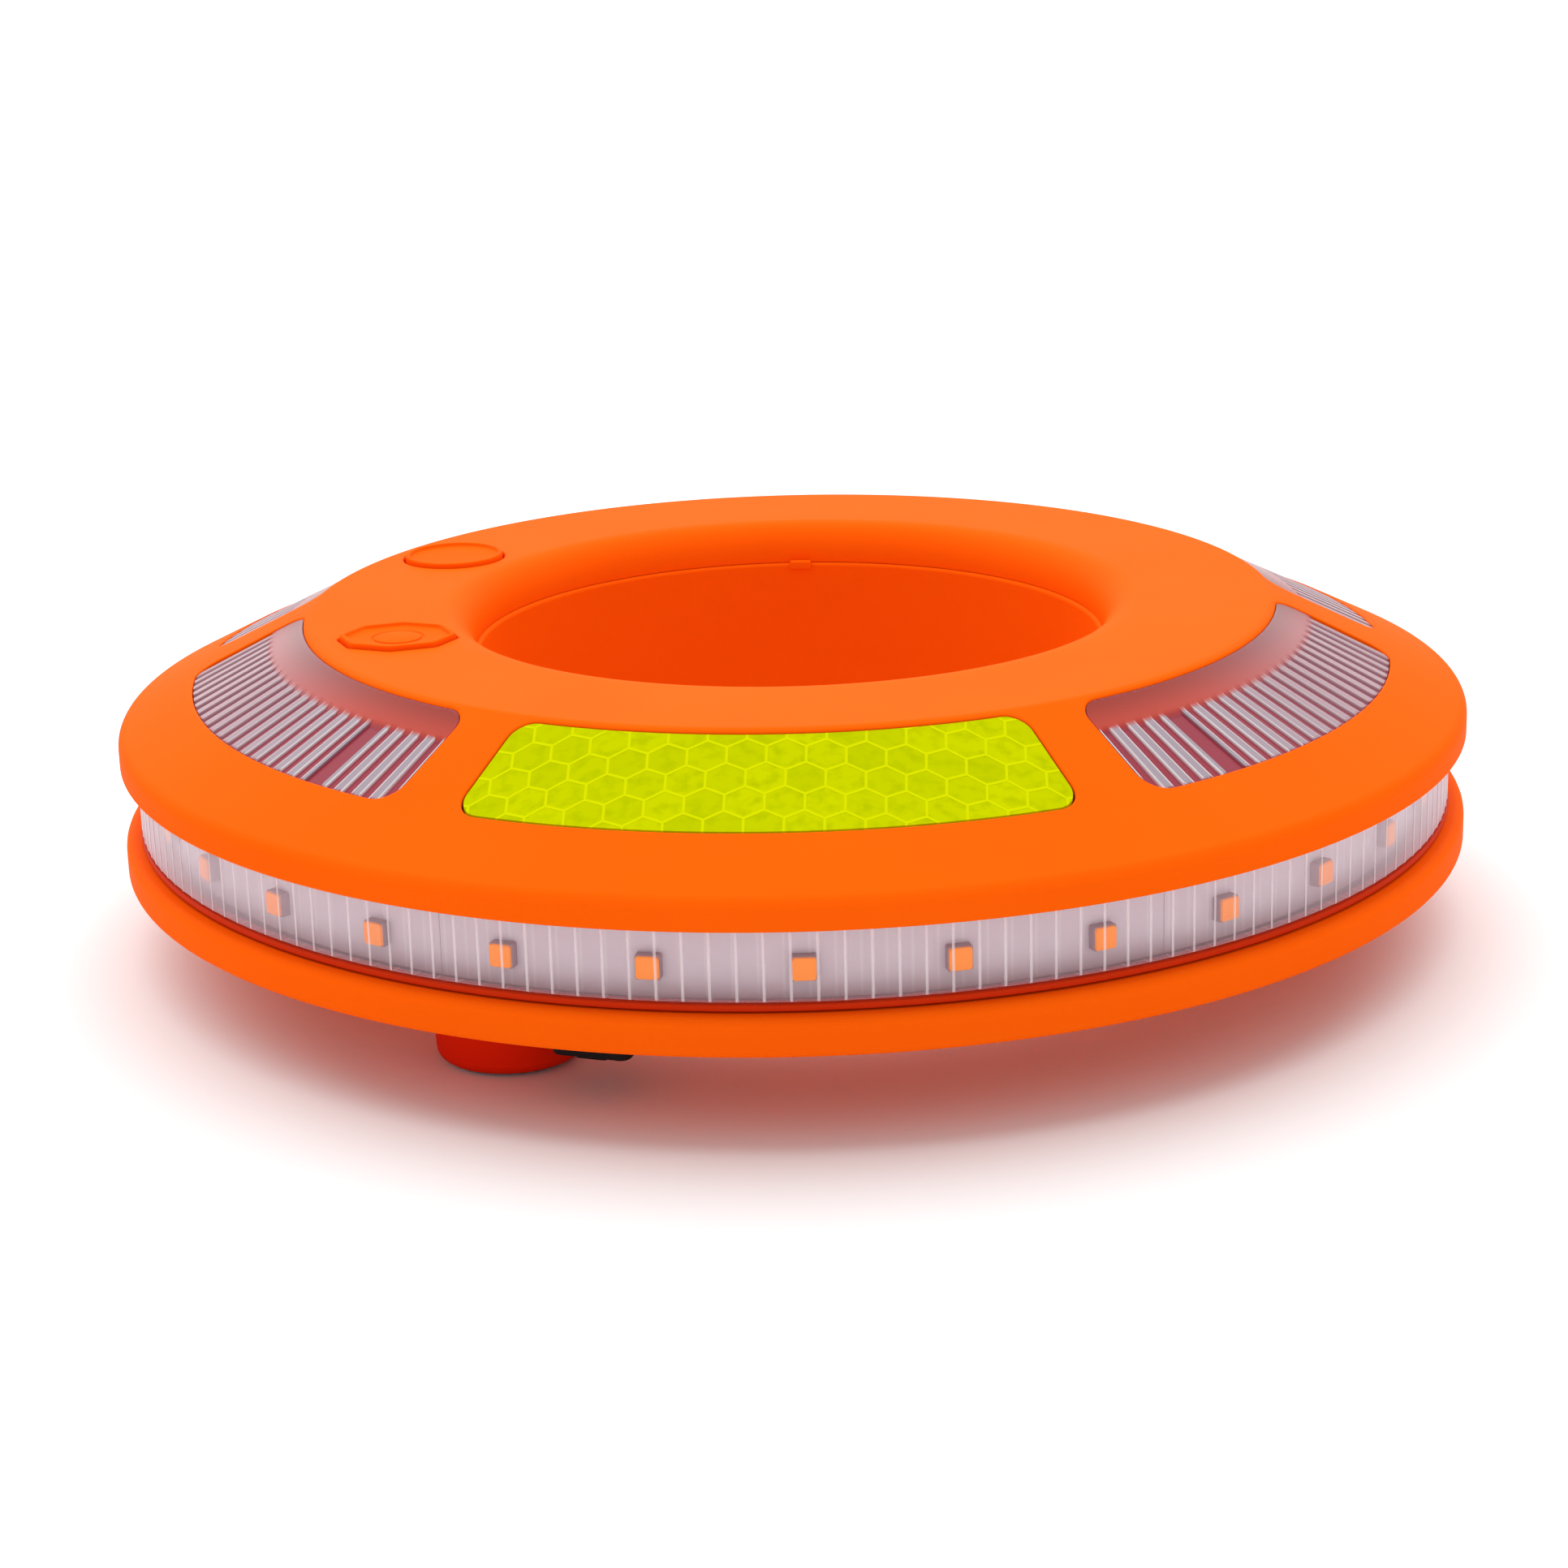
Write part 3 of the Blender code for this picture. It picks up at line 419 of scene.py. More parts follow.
def lathe(corners, steps=6, columns=72):
    """Closed turned piece on its own axis from (radius, height, rounding) corners."""
    rows = rounded(corners, steps)
    points = turn(rows[None, :, 0], np.linspace(0, 360, columns, False)[:, None], rows[None, :, 1])
    return points, quads(columns, len(rows), True, True)


# Moulded TPE with a coarse matt grain: the housing's orange with painted shade, a deep red-orange darker than the
# housing above it.
foot_tpe = moulded("tpe_painted_shade_red", "#E82606", "#DE2104", (0.55, 0.7), 0.45, 0.01, Specular_IOR_Level=0.02)
# Nickel-plated sintered magnet: bright, with faint cloudy patches and no grain.
nickel, tree, shader = material_with("nickel_plate", Metallic=1.0)
shader.inputs["Base Color"].default_value = linear("#BDB8AE")
where = add_node(tree, "TexCoord").outputs["Object"]
clouds = add_node(tree, "TexNoise", {"Vector": where, "Scale": 1 / (3 * MM), "Detail": 4.0})
rough = add_node(tree, "MapRange", {"Value": clouds.outputs["Fac"], "To Min": 0.12, "To Max": 0.34})
tree.links.new(rough.outputs["Result"], shader.inputs["Roughness"])

cup_points, cup_faces = lathe([
    (FOOT_R, FOOT_TOP_Z, 0.4),
    (FOOT_TIP_R, 0.4, 1.8),
    (FOOT_POCKET_R, 0.4, 0.3),
    (FOOT_POCKET_R, 6.0, 0.2),
    (1.6, 6.0, 0.2),
    (1.6, FOOT_TOP_Z, 0.2),
    (3.6, FOOT_TOP_Z, 0.2),
    (3.6, 8.0, 0.4),
    (9.3, 8.0, 0.4),
    (9.9, FOOT_TOP_Z, 0.2),
])
pad_rows = [(0.0, 1.6), (PAD_R - 0.2, 1.6), (PAD_R, 1.4), (PAD_R, 0.3), (PAD_R - 0.3, 0.0)]
for groove_r in (7.2, 5.2, 3.2):
    pad_rows += [(groove_r + 0.5, 0.0), (groove_r + 0.3, 0.4), (groove_r - 0.3, 0.4), (groove_r - 0.5, 0.0)]
pad_rows = np.array(pad_rows + [(0.0, 0.0)])
pad_points = turn(pad_rows[None, :, 0], np.linspace(0, 360, 72, False)[:, None], pad_rows[None, :, 1])
pad_faces = quads(72, len(pad_rows), True, False)
for n, bearing in enumerate((-30.0, 90.0, 210.0), start=1):
    cup = mesh_piece(f"foot_{n}_cup", [(at_bearing(cup_points, bearing, FOOT_RING_R), cup_faces)], foot_tpe)
    pad = mesh_piece(f"foot_{n}_pad", [(at_bearing(pad_points, bearing, FOOT_RING_R), pad_faces)], black_epdm)
    for piece, node, slot in ((cup, f"foot_cup_{n}", "orange_rubber"), (pad, f"foot_pad_{n}", "black_rubber")):
        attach(piece, "housing")
        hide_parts(node)
    dress(nickel, f"foot_magnet_{n}")


# Cells, cradles and wiring: three wrapped lithium cells in snap cradles on the floor, joined by a loom that rises at
# both ends to the control board.

# Heat-shrunk PVC sleeve: glossy blue with slight ripples where it drew tight.
cell_sleeve = moulded("shrunk_pvc_sleeve", "#24539C", "#1E4788", (0.22, 0.34), 2.5, 0.05)
# Moulded black ABS, satin.
cradle_abs = moulded("moulded_black_abs", "#26262A", "#303034", (0.45, 0.6), 0.4, 0.008)
# Extruded PVC insulation: smooth and slightly waxy red.
wire_pvc = moulded("extruded_red_pvc", "#B3261E", "#A01F19", (0.3, 0.42), 1.2, 0.01)
dress(cell_sleeve, *[f"battery_cell_{n}" for n in (1, 2, 3)])
dress(cradle_abs, *[f"battery_cradle_{n}" for n in (1, 2, 3)])
dress(wire_pvc, "wiring_loom")


# Light band: a pale carrier ring stands on the floor just inside the rim, and six flexible strips of amber lights are
# stuck round it.

LINE_PITCH = 2.0
carrier_low, carrier_high = span("led_carrier")
CARRIER_R = (104.0, 106.2)
STRIP_R = (106.6, 107.3)
STRIP_Z = (21.4, 34.4)
STRIP_HALF = 29.97
LED_PITCH = 12.0
LED_FIRST = 3.0
LED_HALF = 1.75
LED_BODY_HALF = 1.9
LED_Z = 26.5
STRIP_COLUMNS = 473
RIDGE_REFLECTION_LINE = (0.3, 1.45)


def ridges(bearing, pitch, width, offset=0.0):
    """How far a bearing is on a ridge, 0 to 1: 1 - (distance from the nearest ridge / half its width) squared."""
    distance = abs((bearing - offset + pitch / 2) % pitch - pitch / 2)
    return np.clip(1 - (distance / (width / 2)) ** 2, 0, 1)


def mixed(low, high, share):
    """Colours between two hex colours, at shares from 0 to 1."""
    low, high = np.array(linear(low)), np.array(linear(high))
    return low + (high - low) * np.asarray(share)[..., None]


def tinted(name, roughness, grain, depth, glance=None, **sockets):
    """A plastic whose colour comes from its tint attribute, with grains of a size and depth in millimetres. Where
    glance is given, it is see-through: the tint's alpha is its cover seen head on, and glance is the share of the
    rest that it gains at a glancing angle, as the square of 1 - cos."""
    material, tree, shader = material_with(name, **sockets)
    tint = add_node(tree, "Attribute", attribute_name="tint")
    tree.links.new(tint.outputs["Color"], shader.inputs["Base Color"])
    shader.inputs["Roughness"].default_value = roughness
    where = add_node(tree, "TexCoord").outputs["Object"]
    grains = add_node(tree, "TexNoise", {"Vector": where, "Scale": 1 / (grain * MM), "Detail": 3.0})
    relief = add_node(tree, "Bump", {"Height": grains.outputs["Fac"], "Distance": depth * MM})
    tree.links.new(relief.outputs["Normal"], shader.inputs["Normal"])
    if glance is not None:
        facing = add_node(tree, "LayerWeight", {"Blend": 0.5}).outputs["Facing"]
        square = add_node(tree, "Math", {0: facing, 1: facing}, operation="MULTIPLY")
        gain = add_node(tree, "Math", {0: square.outputs[0], 1: glance}, operation="MULTIPLY")
        cover = add_node(tree, "Mix", {0: gain.outputs[0], 2: tint.outputs["Alpha"], 3: 1.0}, data_type="FLOAT")
        tree.links.new(cover.outputs[0], shader.inputs["Alpha"])
    return material


# Moulded white polycarbonate, coloured a pale grey mauve: painted shade from the band.
carrier_pc = moulded("moulded_pale_polycarbonate", "#D8CCD4", "#D2C5CE", (0.4, 0.55), 0.5, 0.01)
carrier_points, carrier_faces = lathe([
    (CARRIER_R[0], carrier_high[2], 0.3),
    (CARRIER_R[1], carrier_high[2], 0.3),
    (CARRIER_R[1], carrier_low[2], 0.3),
    (CARRIER_R[0], carrier_low[2], 0.3),
], 3, 360)
carrier = mesh_piece("led_carrier_ring", [(carrier_points, carrier_faces)], carrier_pc)
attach(carrier, "housing")
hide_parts("led_carrier")

# Flexible laminate under a white solder mask: satin. Its faint mauve tint is painted shade from the band, and its
# paler upright lines, one every 2 degrees, are a painted reflection of the lens ridges.
strip_mask = tinted("white_solder_mask", 0.5, 0.6, 0.01)
STRIP_SHADE = "#EADDE6"
STRIP_PAINTED_REFLECTION = "#F2EAEF"
# White ceramic-filled housing of each light: matt, coloured mauve all over as painted shade from the band.
led_body = moulded("white_pct_painted_shade", "#B9979C", "#AE8D93", (0.45, 0.6), 0.5, 0.004)
# Silicone lens filled with phosphor: a warm amber with a low sheen, and a faint painted glow from its emission.
led_phosphor = moulded(
    "amber_phosphor_silicone", "#FA8E10", "#F5860C", (0.3, 0.4), 0.6, 0.01, Specular_IOR_Level=0.05,
    Emission_Color=linear("#FF8800"), Emission_Strength=0.35,
)

for n in range(6):
    middle = LED_FIRST + 60 * n
    b = np.linspace(-STRIP_HALF, STRIP_HALF, STRIP_COLUMNS)[:, None] + middle
    section = rounded([
        (STRIP_R[0], STRIP_Z[1], 0.15), (STRIP_R[1], STRIP_Z[1], 0.15),
        (STRIP_R[1], STRIP_Z[0], 0.15), (STRIP_R[0], STRIP_Z[0], 0.15),
    ], 2)
    points = turn(section[None, :, 0], b, section[None, :, 1])
    ends = points[[0, -1]]
    caps = np.stack([ends, np.broadcast_to(ends.mean(axis=1, keepdims=True), ends.shape)])
    # Paler lines every 2 degrees: painted reflection of the lens ridges, over a tint of painted shade.
    tint = mixed(STRIP_SHADE, STRIP_PAINTED_REFLECTION, ridges(b, LINE_PITCH, *RIDGE_REFLECTION_LINE) * np.ones(len(section)))
    cap_tint = np.broadcast_to(linear(STRIP_SHADE), (caps.size // 3, 4))
    board = [(points, quads(STRIP_COLUMNS, len(section), False, True))]
    board += [(caps[:, k], quads(2, len(section), False, True)) for k in (0, 1)]
    strip = mesh_piece(
        f"led_strip_board_{n + 1}", board, strip_mask,
        tint=np.concatenate([tint.reshape(-1, 4), cap_tint]),
    )
    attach(strip, "housing")
    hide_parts(f"led_strip_{n + 1}")
    shell, shell_faces = stacked(soft_box(LED_BODY_HALF, LED_BODY_HALF, 0.3, 4), eased(0.0, 1.6, 0.12, 2))
    amber, amber_faces = stacked(soft_box(LED_HALF, LED_HALF, 0.45, 4), eased(1.3, 2.0, 0.2, 2))
    pair = ((shell, shell_faces, "body", led_body), (amber, amber_faces, "lens", led_phosphor))
    for part, faces, kind, finish in pair:
        upright = np.stack([part[..., 0], -part[..., 2], part[..., 1]], axis=-1)
        lights = [
            (at_bearing(upright, middle + k * LED_PITCH, STRIP_R[1] - 0.02, LED_Z), faces) for k in range(-2, 3)
        ]
        light = mesh_piece(f"led_{kind}_{n + 1}", lights, finish)
        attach(light, "housing")


# Seals: two soft silicone rings that close the band's lens against the base and the cover.

# Moulded silicone rubber, matt and slightly waxy: the housing's orange darkened to a deep red-orange, painted shade of
# the grooves above and below the lens.
seal_silicone = moulded(
    "silicone_painted_groove_shade", "#CE3206", "#C42C04", (0.5, 0.62), 0.6, 0.006, Specular_IOR_Level=0.05
)
SEAL_R = (109.9, 112.4)
for node, name in (("upper_seal", "seal_ring_upper"), ("lower_seal", "seal_ring_lower")):
    low, high = span(node)
    seal_points, seal_faces = lathe([
        (SEAL_R[0], high[2], 0.2), (SEAL_R[1], high[2], 0.25), (SEAL_R[1], low[2], 0.25), (SEAL_R[0], low[2], 0.2),
    ], 3, 360)
    seal = mesh_piece(name, [(seal_points, seal_faces)], seal_silicone)
    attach(seal, "housing")
    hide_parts(node)


# Side lens: a clear moulded ring with an upright ridge every 2 degrees, which spreads each light along the band.

lens_low, lens_high = span("side_lens")
LENS_R = lens_high[0]
LENS_T = 2.0
RIDGE_H = 0.15
RIDGE_WIDTH = 0.26
RIDGE_STEPS = np.array([-0.13, -0.09, 0.0, 0.09, 0.13, 0.5, 1.0, 1.5])
lens_bearings = (np.arange(0.0, 360.0, LINE_PITCH)[:, None] + RIDGE_STEPS).ravel()
on_ridge = ridges(lens_bearings, LINE_PITCH, RIDGE_WIDTH)
lens_height = lens_high[2] - lens_low[2]
heights = np.array([0.2, 0.35, 1.5, 3.3, 6.6, 9.9, lens_height - 0.35, lens_height - 0.2])
outer_r = LENS_R - RIDGE_H * (1 - on_ridge[:, None]) * np.ones(len(heights))
inner_r = np.broadcast_to([LENS_R - LENS_T, LENS_R - RIDGE_H - 0.2], (len(lens_bearings), 2))
band_r = np.concatenate([inner_r, outer_r, inner_r[:, ::-1]], axis=1)
band_z = np.concatenate([[lens_low[2]] * 2, lens_low[2] + heights, [lens_high[2]] * 2])
band_points = turn(band_r, lens_bearings[:, None], band_z[None])
rise = np.clip((band_z - lens_low[2]) / lens_height, 0, 1)
# Painted shade: the veil is darker towards the bottom.
body = mixed("#D8C4CF", "#E4DBE4", rise ** 0.7)[None]
ridge_share = np.clip(on_ridge * 2.0, 0, 1)[:, None, None]
# Painted highlight: each ridge is tinted paler.
band_tint = body + (np.array(linear("#F6EDF2")) - body) * ridge_share
band_tint[..., 3] = 0.1 + 0.4 * ridge_share[..., 0]
band_tint[:, [0, 1, -2, -1], 3] = 0.0
# Clear moulded polycarbonate, frosted inside: a thin pale veil over the strip, denser along each ridge, with painted
# shade that darkens it towards the bottom and a painted highlight that makes each ridge paler.
band_pc = tinted("frosted_polycarbonate", 0.28, 0.8, 0.004, 0.75, IOR=1.585, Specular_IOR_Level=0.3)
band = mesh_piece("side_lens_ring", [(band_points, quads(*band_r.shape, True, True))], band_pc, tint=band_tint)
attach(band, "housing")
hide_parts("side_lens")


# Control board: a curved laminate board on two pillars, with a tact switch under each button.

# Glass-fibre laminate under green solder mask: glossy, with a faint weave 0.5 mm apart and patches of copper pour.
board_green, tree, shader = material_with("solder_masked_laminate", Roughness=0.32)
where = add_node(tree, "TexCoord").outputs["Object"]
pour = add_node(tree, "TexVoronoi", {"Vector": where, "Scale": 1 / (4 * MM)})
copper = add_node(
    tree, "Mix", {0: pour.outputs["Distance"], 6: linear("#0C4F26"), 7: linear("#1B7A3C")}, data_type="RGBA"
)
tree.links.new(copper.outputs[2], shader.inputs["Base Color"])
weave = add_node(tree, "TexWave", {"Vector": where, "Scale": 1 / (0.5 * MM * 20)})
relief = add_node(tree, "Bump", {"Height": weave.outputs["Fac"], "Distance": 0.01 * MM})
tree.links.new(relief.outputs["Normal"], shader.inputs["Normal"])
dress(board_green, "main_board")
dress(cradle_abs, "power_switch", "mode_switch")


# Top cover: the upper half of the ring, moulded from the same orange ABS. It has a flat top with two button holes, a
# slope with six windows, and a rolled edge that hangs over the light band.

TOP_Z = span("top_cover")[1][2]
BORE_R = 54.0
COVER_WALL = 2.1
SLOPE_R = 82.0
SLOPE = np.tan(np.radians(26.3))
LIP_Z = 34.3
CLEAR_HALF = 26.1
REFLECTOR_HALF = 27.3
WINDOW_R = (82.9, 102.1)
WINDOW_CORNER = 4.0
WINDOW_LIP = 0.35
WINDOW_PATCH_R = (82.3, 103.5)
BUTTON_R = 8.8
BUTTON_GAP = 0.4
BUTTON_COLUMN_REACH = 10


def window_loop(half_angle, out, across, up):
    """A window opening drawn out by a distance, as a loop of 2 * (across + up) points in the plan. It is two arcs
    round the ring's axis and two radial ends, joined by circles that touch them. The loop starts half-way round the
    corner that is nearest to the axis on the low-bearing side, and the corners take ten steps each."""
    inner, outer, corner = WINDOW_R[0] - out, WINDOW_R[1] + out, WINDOW_CORNER + out
    end = np.radians(half_angle) + out / np.mean(WINDOW_R)
    near, far = inner + corner, outer - corner
    near_at, far_at = end - np.arcsin(corner / near), end - np.arcsin(corner / far)

    def bend(radius, at, start, stop):
        angle = np.linspace(start, stop, 11)
        middle = radius * np.array([np.sin(at), -np.cos(at)])
        return middle + corner * np.stack([np.cos(angle), np.sin(angle)], axis=-1)

    first = turn(inner, np.degrees(np.linspace(0, near_at, across // 2 - 4)), 0.0)[:, :2]
    near_bend = bend(near, near_at, near_at + np.pi / 2, end)
    far_bend = bend(far, far_at, end, far_at - np.pi / 2)
    steps = np.linspace(0, 1, up - 9)[:, None]
    side = near_bend[-1] + (far_bend[0] - near_bend[-1]) * steps
    last = turn(outer, np.degrees(np.linspace(far_at, 0, across // 2 - 4)), 0.0)[:, :2]
    right = np.concatenate([first[:-1], near_bend[:-1], side[:-1], far_bend[:-1], last])
    left = right[-2:0:-1] * [-1, 1]
    return np.roll(np.concatenate([right, left]), across // 2, axis=0)


def eight_sided(angle, softness=48):
    """Radius of an octagon with soft corners on the axes, about 1 at its corners: 1 over the p-norm of the eight
    sides' distances, cos(angle - side) / cos(22.5 degrees)."""
    sides = np.radians(22.5 + 45 * np.arange(8))
    reach = np.clip(np.cos(np.asarray(angle)[..., None] - sides), 0, 1) / np.cos(np.radians(22.5))
    return (reach ** softness).sum(axis=-1) ** (-1 / softness)


def button_outline(angle, radius, shape):
    """Plan points of a button's edge at an angle: the octagon, stretched in X and Y, or a circle."""
    if shape == "octagon":
        radius = radius * eight_sided(angle)
        stretch = (1.12, 0.96)
    else:
        stretch = (1.0, 1.0)
    return np.stack([stretch[0] * radius * np.cos(angle), stretch[1] * radius * np.sin(angle)], axis=-1)


skin = rounded([
    (BORE_R, SEAM_Z + 0.1, 0.0),
    (BORE_R, TOP_Z, 6.0),
    (SLOPE_R, TOP_Z, 2.4),
    (RING_R, TOP_Z - (RING_R - SLOPE_R) * SLOPE, 2.6),
    (RING_R, LIP_Z, 0.0),
], 10)
flat_rows = np.linspace(60.6, 81.2, 21)
slope_rows = np.linspace(*WINDOW_PATCH_R, 17)
skin = with_rows(skin, np.concatenate([flat_rows, slope_rows, [107.0, 110.0]]), rising=True)
step = np.diff(skin, axis=0)
step /= np.linalg.norm(step, axis=1, keepdims=True)
tangent = np.concatenate([step[:1], step[:-1] + step[1:], step[-1:]])
tangent /= np.linalg.norm(tangent, axis=1, keepdims=True)
under = skin - COVER_WALL * np.stack([-tangent[:, 1], tangent[:, 0]], axis=-1)
lip_cap = np.array([(RING_R - 0.1, LIP_Z), (RING_R - COVER_WALL + 0.1, LIP_Z)])
cover_rows = np.concatenate([skin, lip_cap, under[::-1]])
cover_points = turn(cover_rows[None, :, 0], ring_bearings[:, None], cover_rows[None, :, 1])
cover_faces = quads(360, len(cover_rows), True, True)


def height_on(section, plan):
    """Height of a turned skin at points of the plan."""
    return np.interp(np.linalg.norm(plan, axis=-1), section[1:, 0], section[1:, 1])


def opening(columns, rows, outline, lip):
    """Takes a patch out of the cover's two skins and joins their edges through a hole. The outline gives the hole
    drawn out by a distance, with a point for each point of the patch's edge. The lip is a quarter circle: at angle q
    it stands lip * (1 - sin q) outside the hole and lip * (1 - cos q) below the skin."""
    final_row = len(cover_rows) - 1
    turned_columns = np.arange(*columns) % 360
    cover_faces[turned_columns, rows[0] : rows[1]] = 0
    cover_faces[turned_columns, final_row - rows[1] : final_row - rows[0]] = 0
    column, row = patch_edge(columns, rows)
    top_edge = cover_points[column % 360, row]
    under_edge = cover_points[column % 360, final_row - row]
    wide = outline(lip + BESIDE, top_edge)
    rings = [top_edge]
    for share in (0.35, 0.7, 1.0):
        plan = top_edge[:, :2] + (wide - top_edge[:, :2]) * share
        rings.append(lifted(plan, height_on(skin, plan)))
    for q in np.linspace(0, np.pi / 2, 6):
        plan = outline(lip * (1 - np.sin(q)), top_edge)
        rings.append(lifted(plan, height_on(skin, plan) - lip * (1 - np.cos(q))))
    rings.append(lifted(plan, height_on(under, plan)))
    rings.append(under_edge)
    return np.stack(rings), quads(len(rings), len(column), False, True)


def row_at(radius):
    """Number of the cover's upper row nearest a radius."""
    return int(abs(skin[:, 0] - radius).argmin())


cover_parts = []
window_rows = (row_at(WINDOW_PATCH_R[0]), row_at(WINDOW_PATCH_R[1]))
for bearing in range(0, 360, 60):
    half_angle, reach = (REFLECTOR_HALF, 28) if bearing in (0, 180) else (CLEAR_HALF, 27)

    def window_at(out, _, bearing=bearing, half_angle=half_angle, reach=reach):
        loop = window_loop(half_angle, out, 2 * reach, window_rows[1] - window_rows[0])
        return at_bearing(lifted(loop, 0.0), bearing)[:, :2]

    cover_parts.append(opening((bearing - reach, bearing + reach), window_rows, window_at, WINDOW_LIP))

BUTTONS = {"power": ("octagon", (57.2, 81.2)), "mode": ("round", (58.9, 81.2))}
button_centres = {}
for name, (shape, reach) in BUTTONS.items():
    low, high = span(f"{name}_button")
    centre = ((low + high) / 2)[:2]
    button_centres[name] = centre
    bearing = np.degrees(np.arctan2(centre[0], -centre[1]))
    columns = (int(round(bearing)) - BUTTON_COLUMN_REACH, int(round(bearing)) + BUTTON_COLUMN_REACH)

    def hole_at(out, edge, centre=centre, shape=shape):
        step = 2 * np.pi / len(edge)
        start = np.round(np.arctan2(*(edge[0, :2] - centre)[::-1]) / step) * step
        angle = start - step * np.arange(len(edge))
        return centre + button_outline(angle, BUTTON_R + BUTTON_GAP + out, shape)

    cover_parts.append(opening(columns, (row_at(reach[0]), row_at(reach[1])), hole_at, 0.3))
cover_parts.insert(0, (cover_points, cover_faces[cover_faces.any(axis=-1)]))
cover = mesh_piece("top_moulding", cover_parts, housing_abs)
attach(cover, "housing")
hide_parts("top_cover")


# Window trays and lenses: four clear windows with ribs moulded across them, each over a mauve tray. They throw the
# light upwards, so that the ring also shows from above.

# Moulded tinted polycarbonate, smooth: a dull crimson mauve that is painted shade under the window.
tray_pc = moulded("moulded_mauve_polycarbonate", "#8E3A4C", "#98404F", (0.3, 0.45), 0.6, 0.01)
CLEAR_WINDOWS = {
    "front_right": (60.0, -1), "rear_right": (120.0, 1), "rear_left": (-120.0, -1), "front_left": (-60.0, 1)
}
WINDOW_GAP = 0.15
WINDOW_SINK = 0.25
WINDOW_DEPTH = 2.6
RIB_FROM_R = 88.9
RIB_PITCH = 2.2
RIB_WIDTH = 1.2
RIB_OFFSET = 1.25
SEAM_WIDTH = 2.3
RIB_H = 0.45
SEAM_FROM_MIDDLE = 16.3
dress(tray_pc, *[f"window_tray_{side}" for side in CLEAR_WINDOWS])


def window_grid(half_angle, gap, columns, rows):
    """Bearings, in degrees from the window's middle, and radii of a grid that fills a window drawn in by a gap: each
    column runs from the inner edge to the outer edge, and in a corner the edge is the circle that touches the end,
    far * cos(b) + sqrt(corner^2 - (far sin b)^2) outside and near * cos(b) - sqrt(corner^2 - (near sin b)^2) inside,
    where b is the angle from the circle's middle."""
    inner, outer, corner = WINDOW_R[0] + gap, WINDOW_R[1] - gap, WINDOW_CORNER - gap
    end = np.radians(half_angle) - gap / np.mean(WINDOW_R)
    near, far = inner + corner, outer - corner
    near_at, far_at = end - np.arcsin(corner / near), end - np.arcsin(corner / far)
    curl = end - (end - near_at) * (1 - np.cos(np.linspace(0, np.pi / 2, 33)))
    bearing = np.concatenate([-curl, np.linspace(-near_at, near_at, columns)[1:-1], curl[::-1]])
    size = abs(bearing)
    b = np.clip(size - near_at, 0, None)
    low = np.where(b > 0, near * np.cos(b) - np.sqrt(np.clip(corner**2 - (near * np.sin(b)) ** 2, 0, None)), inner)
    b = np.clip(size - far_at, 0, None)
    high = np.where(b > 0, far * np.cos(b) + np.sqrt(np.clip(corner**2 - (far * np.sin(b)) ** 2, 0, None)), outer)
    share = np.linspace(0, 1, rows)[None]
    return np.degrees(bearing), low[:, None] + (high - low)[:, None] * share


def slab(upper, lower):
    """Closed piece between two grids of the same size: both grids and a strip round their edges."""
    columns, rows = upper.shape[:2]
    column, row = patch_edge((0, columns - 1), (0, rows - 1))
    skirt = np.stack([upper[column, row], lower[column, row]])
    return [
        (upper, quads(columns, rows)),
        (lower, quads(columns, rows)),
        (skirt, quads(2, len(column), False, True)),
    ]


def ramp(value, low, high):
    """Smooth step from 0 at low to 1 at high: t * t * (3 - 2 t)."""
    t = np.clip((value - low) / (high - low), 0, 1)
    return t * t * (3 - 2 * t)


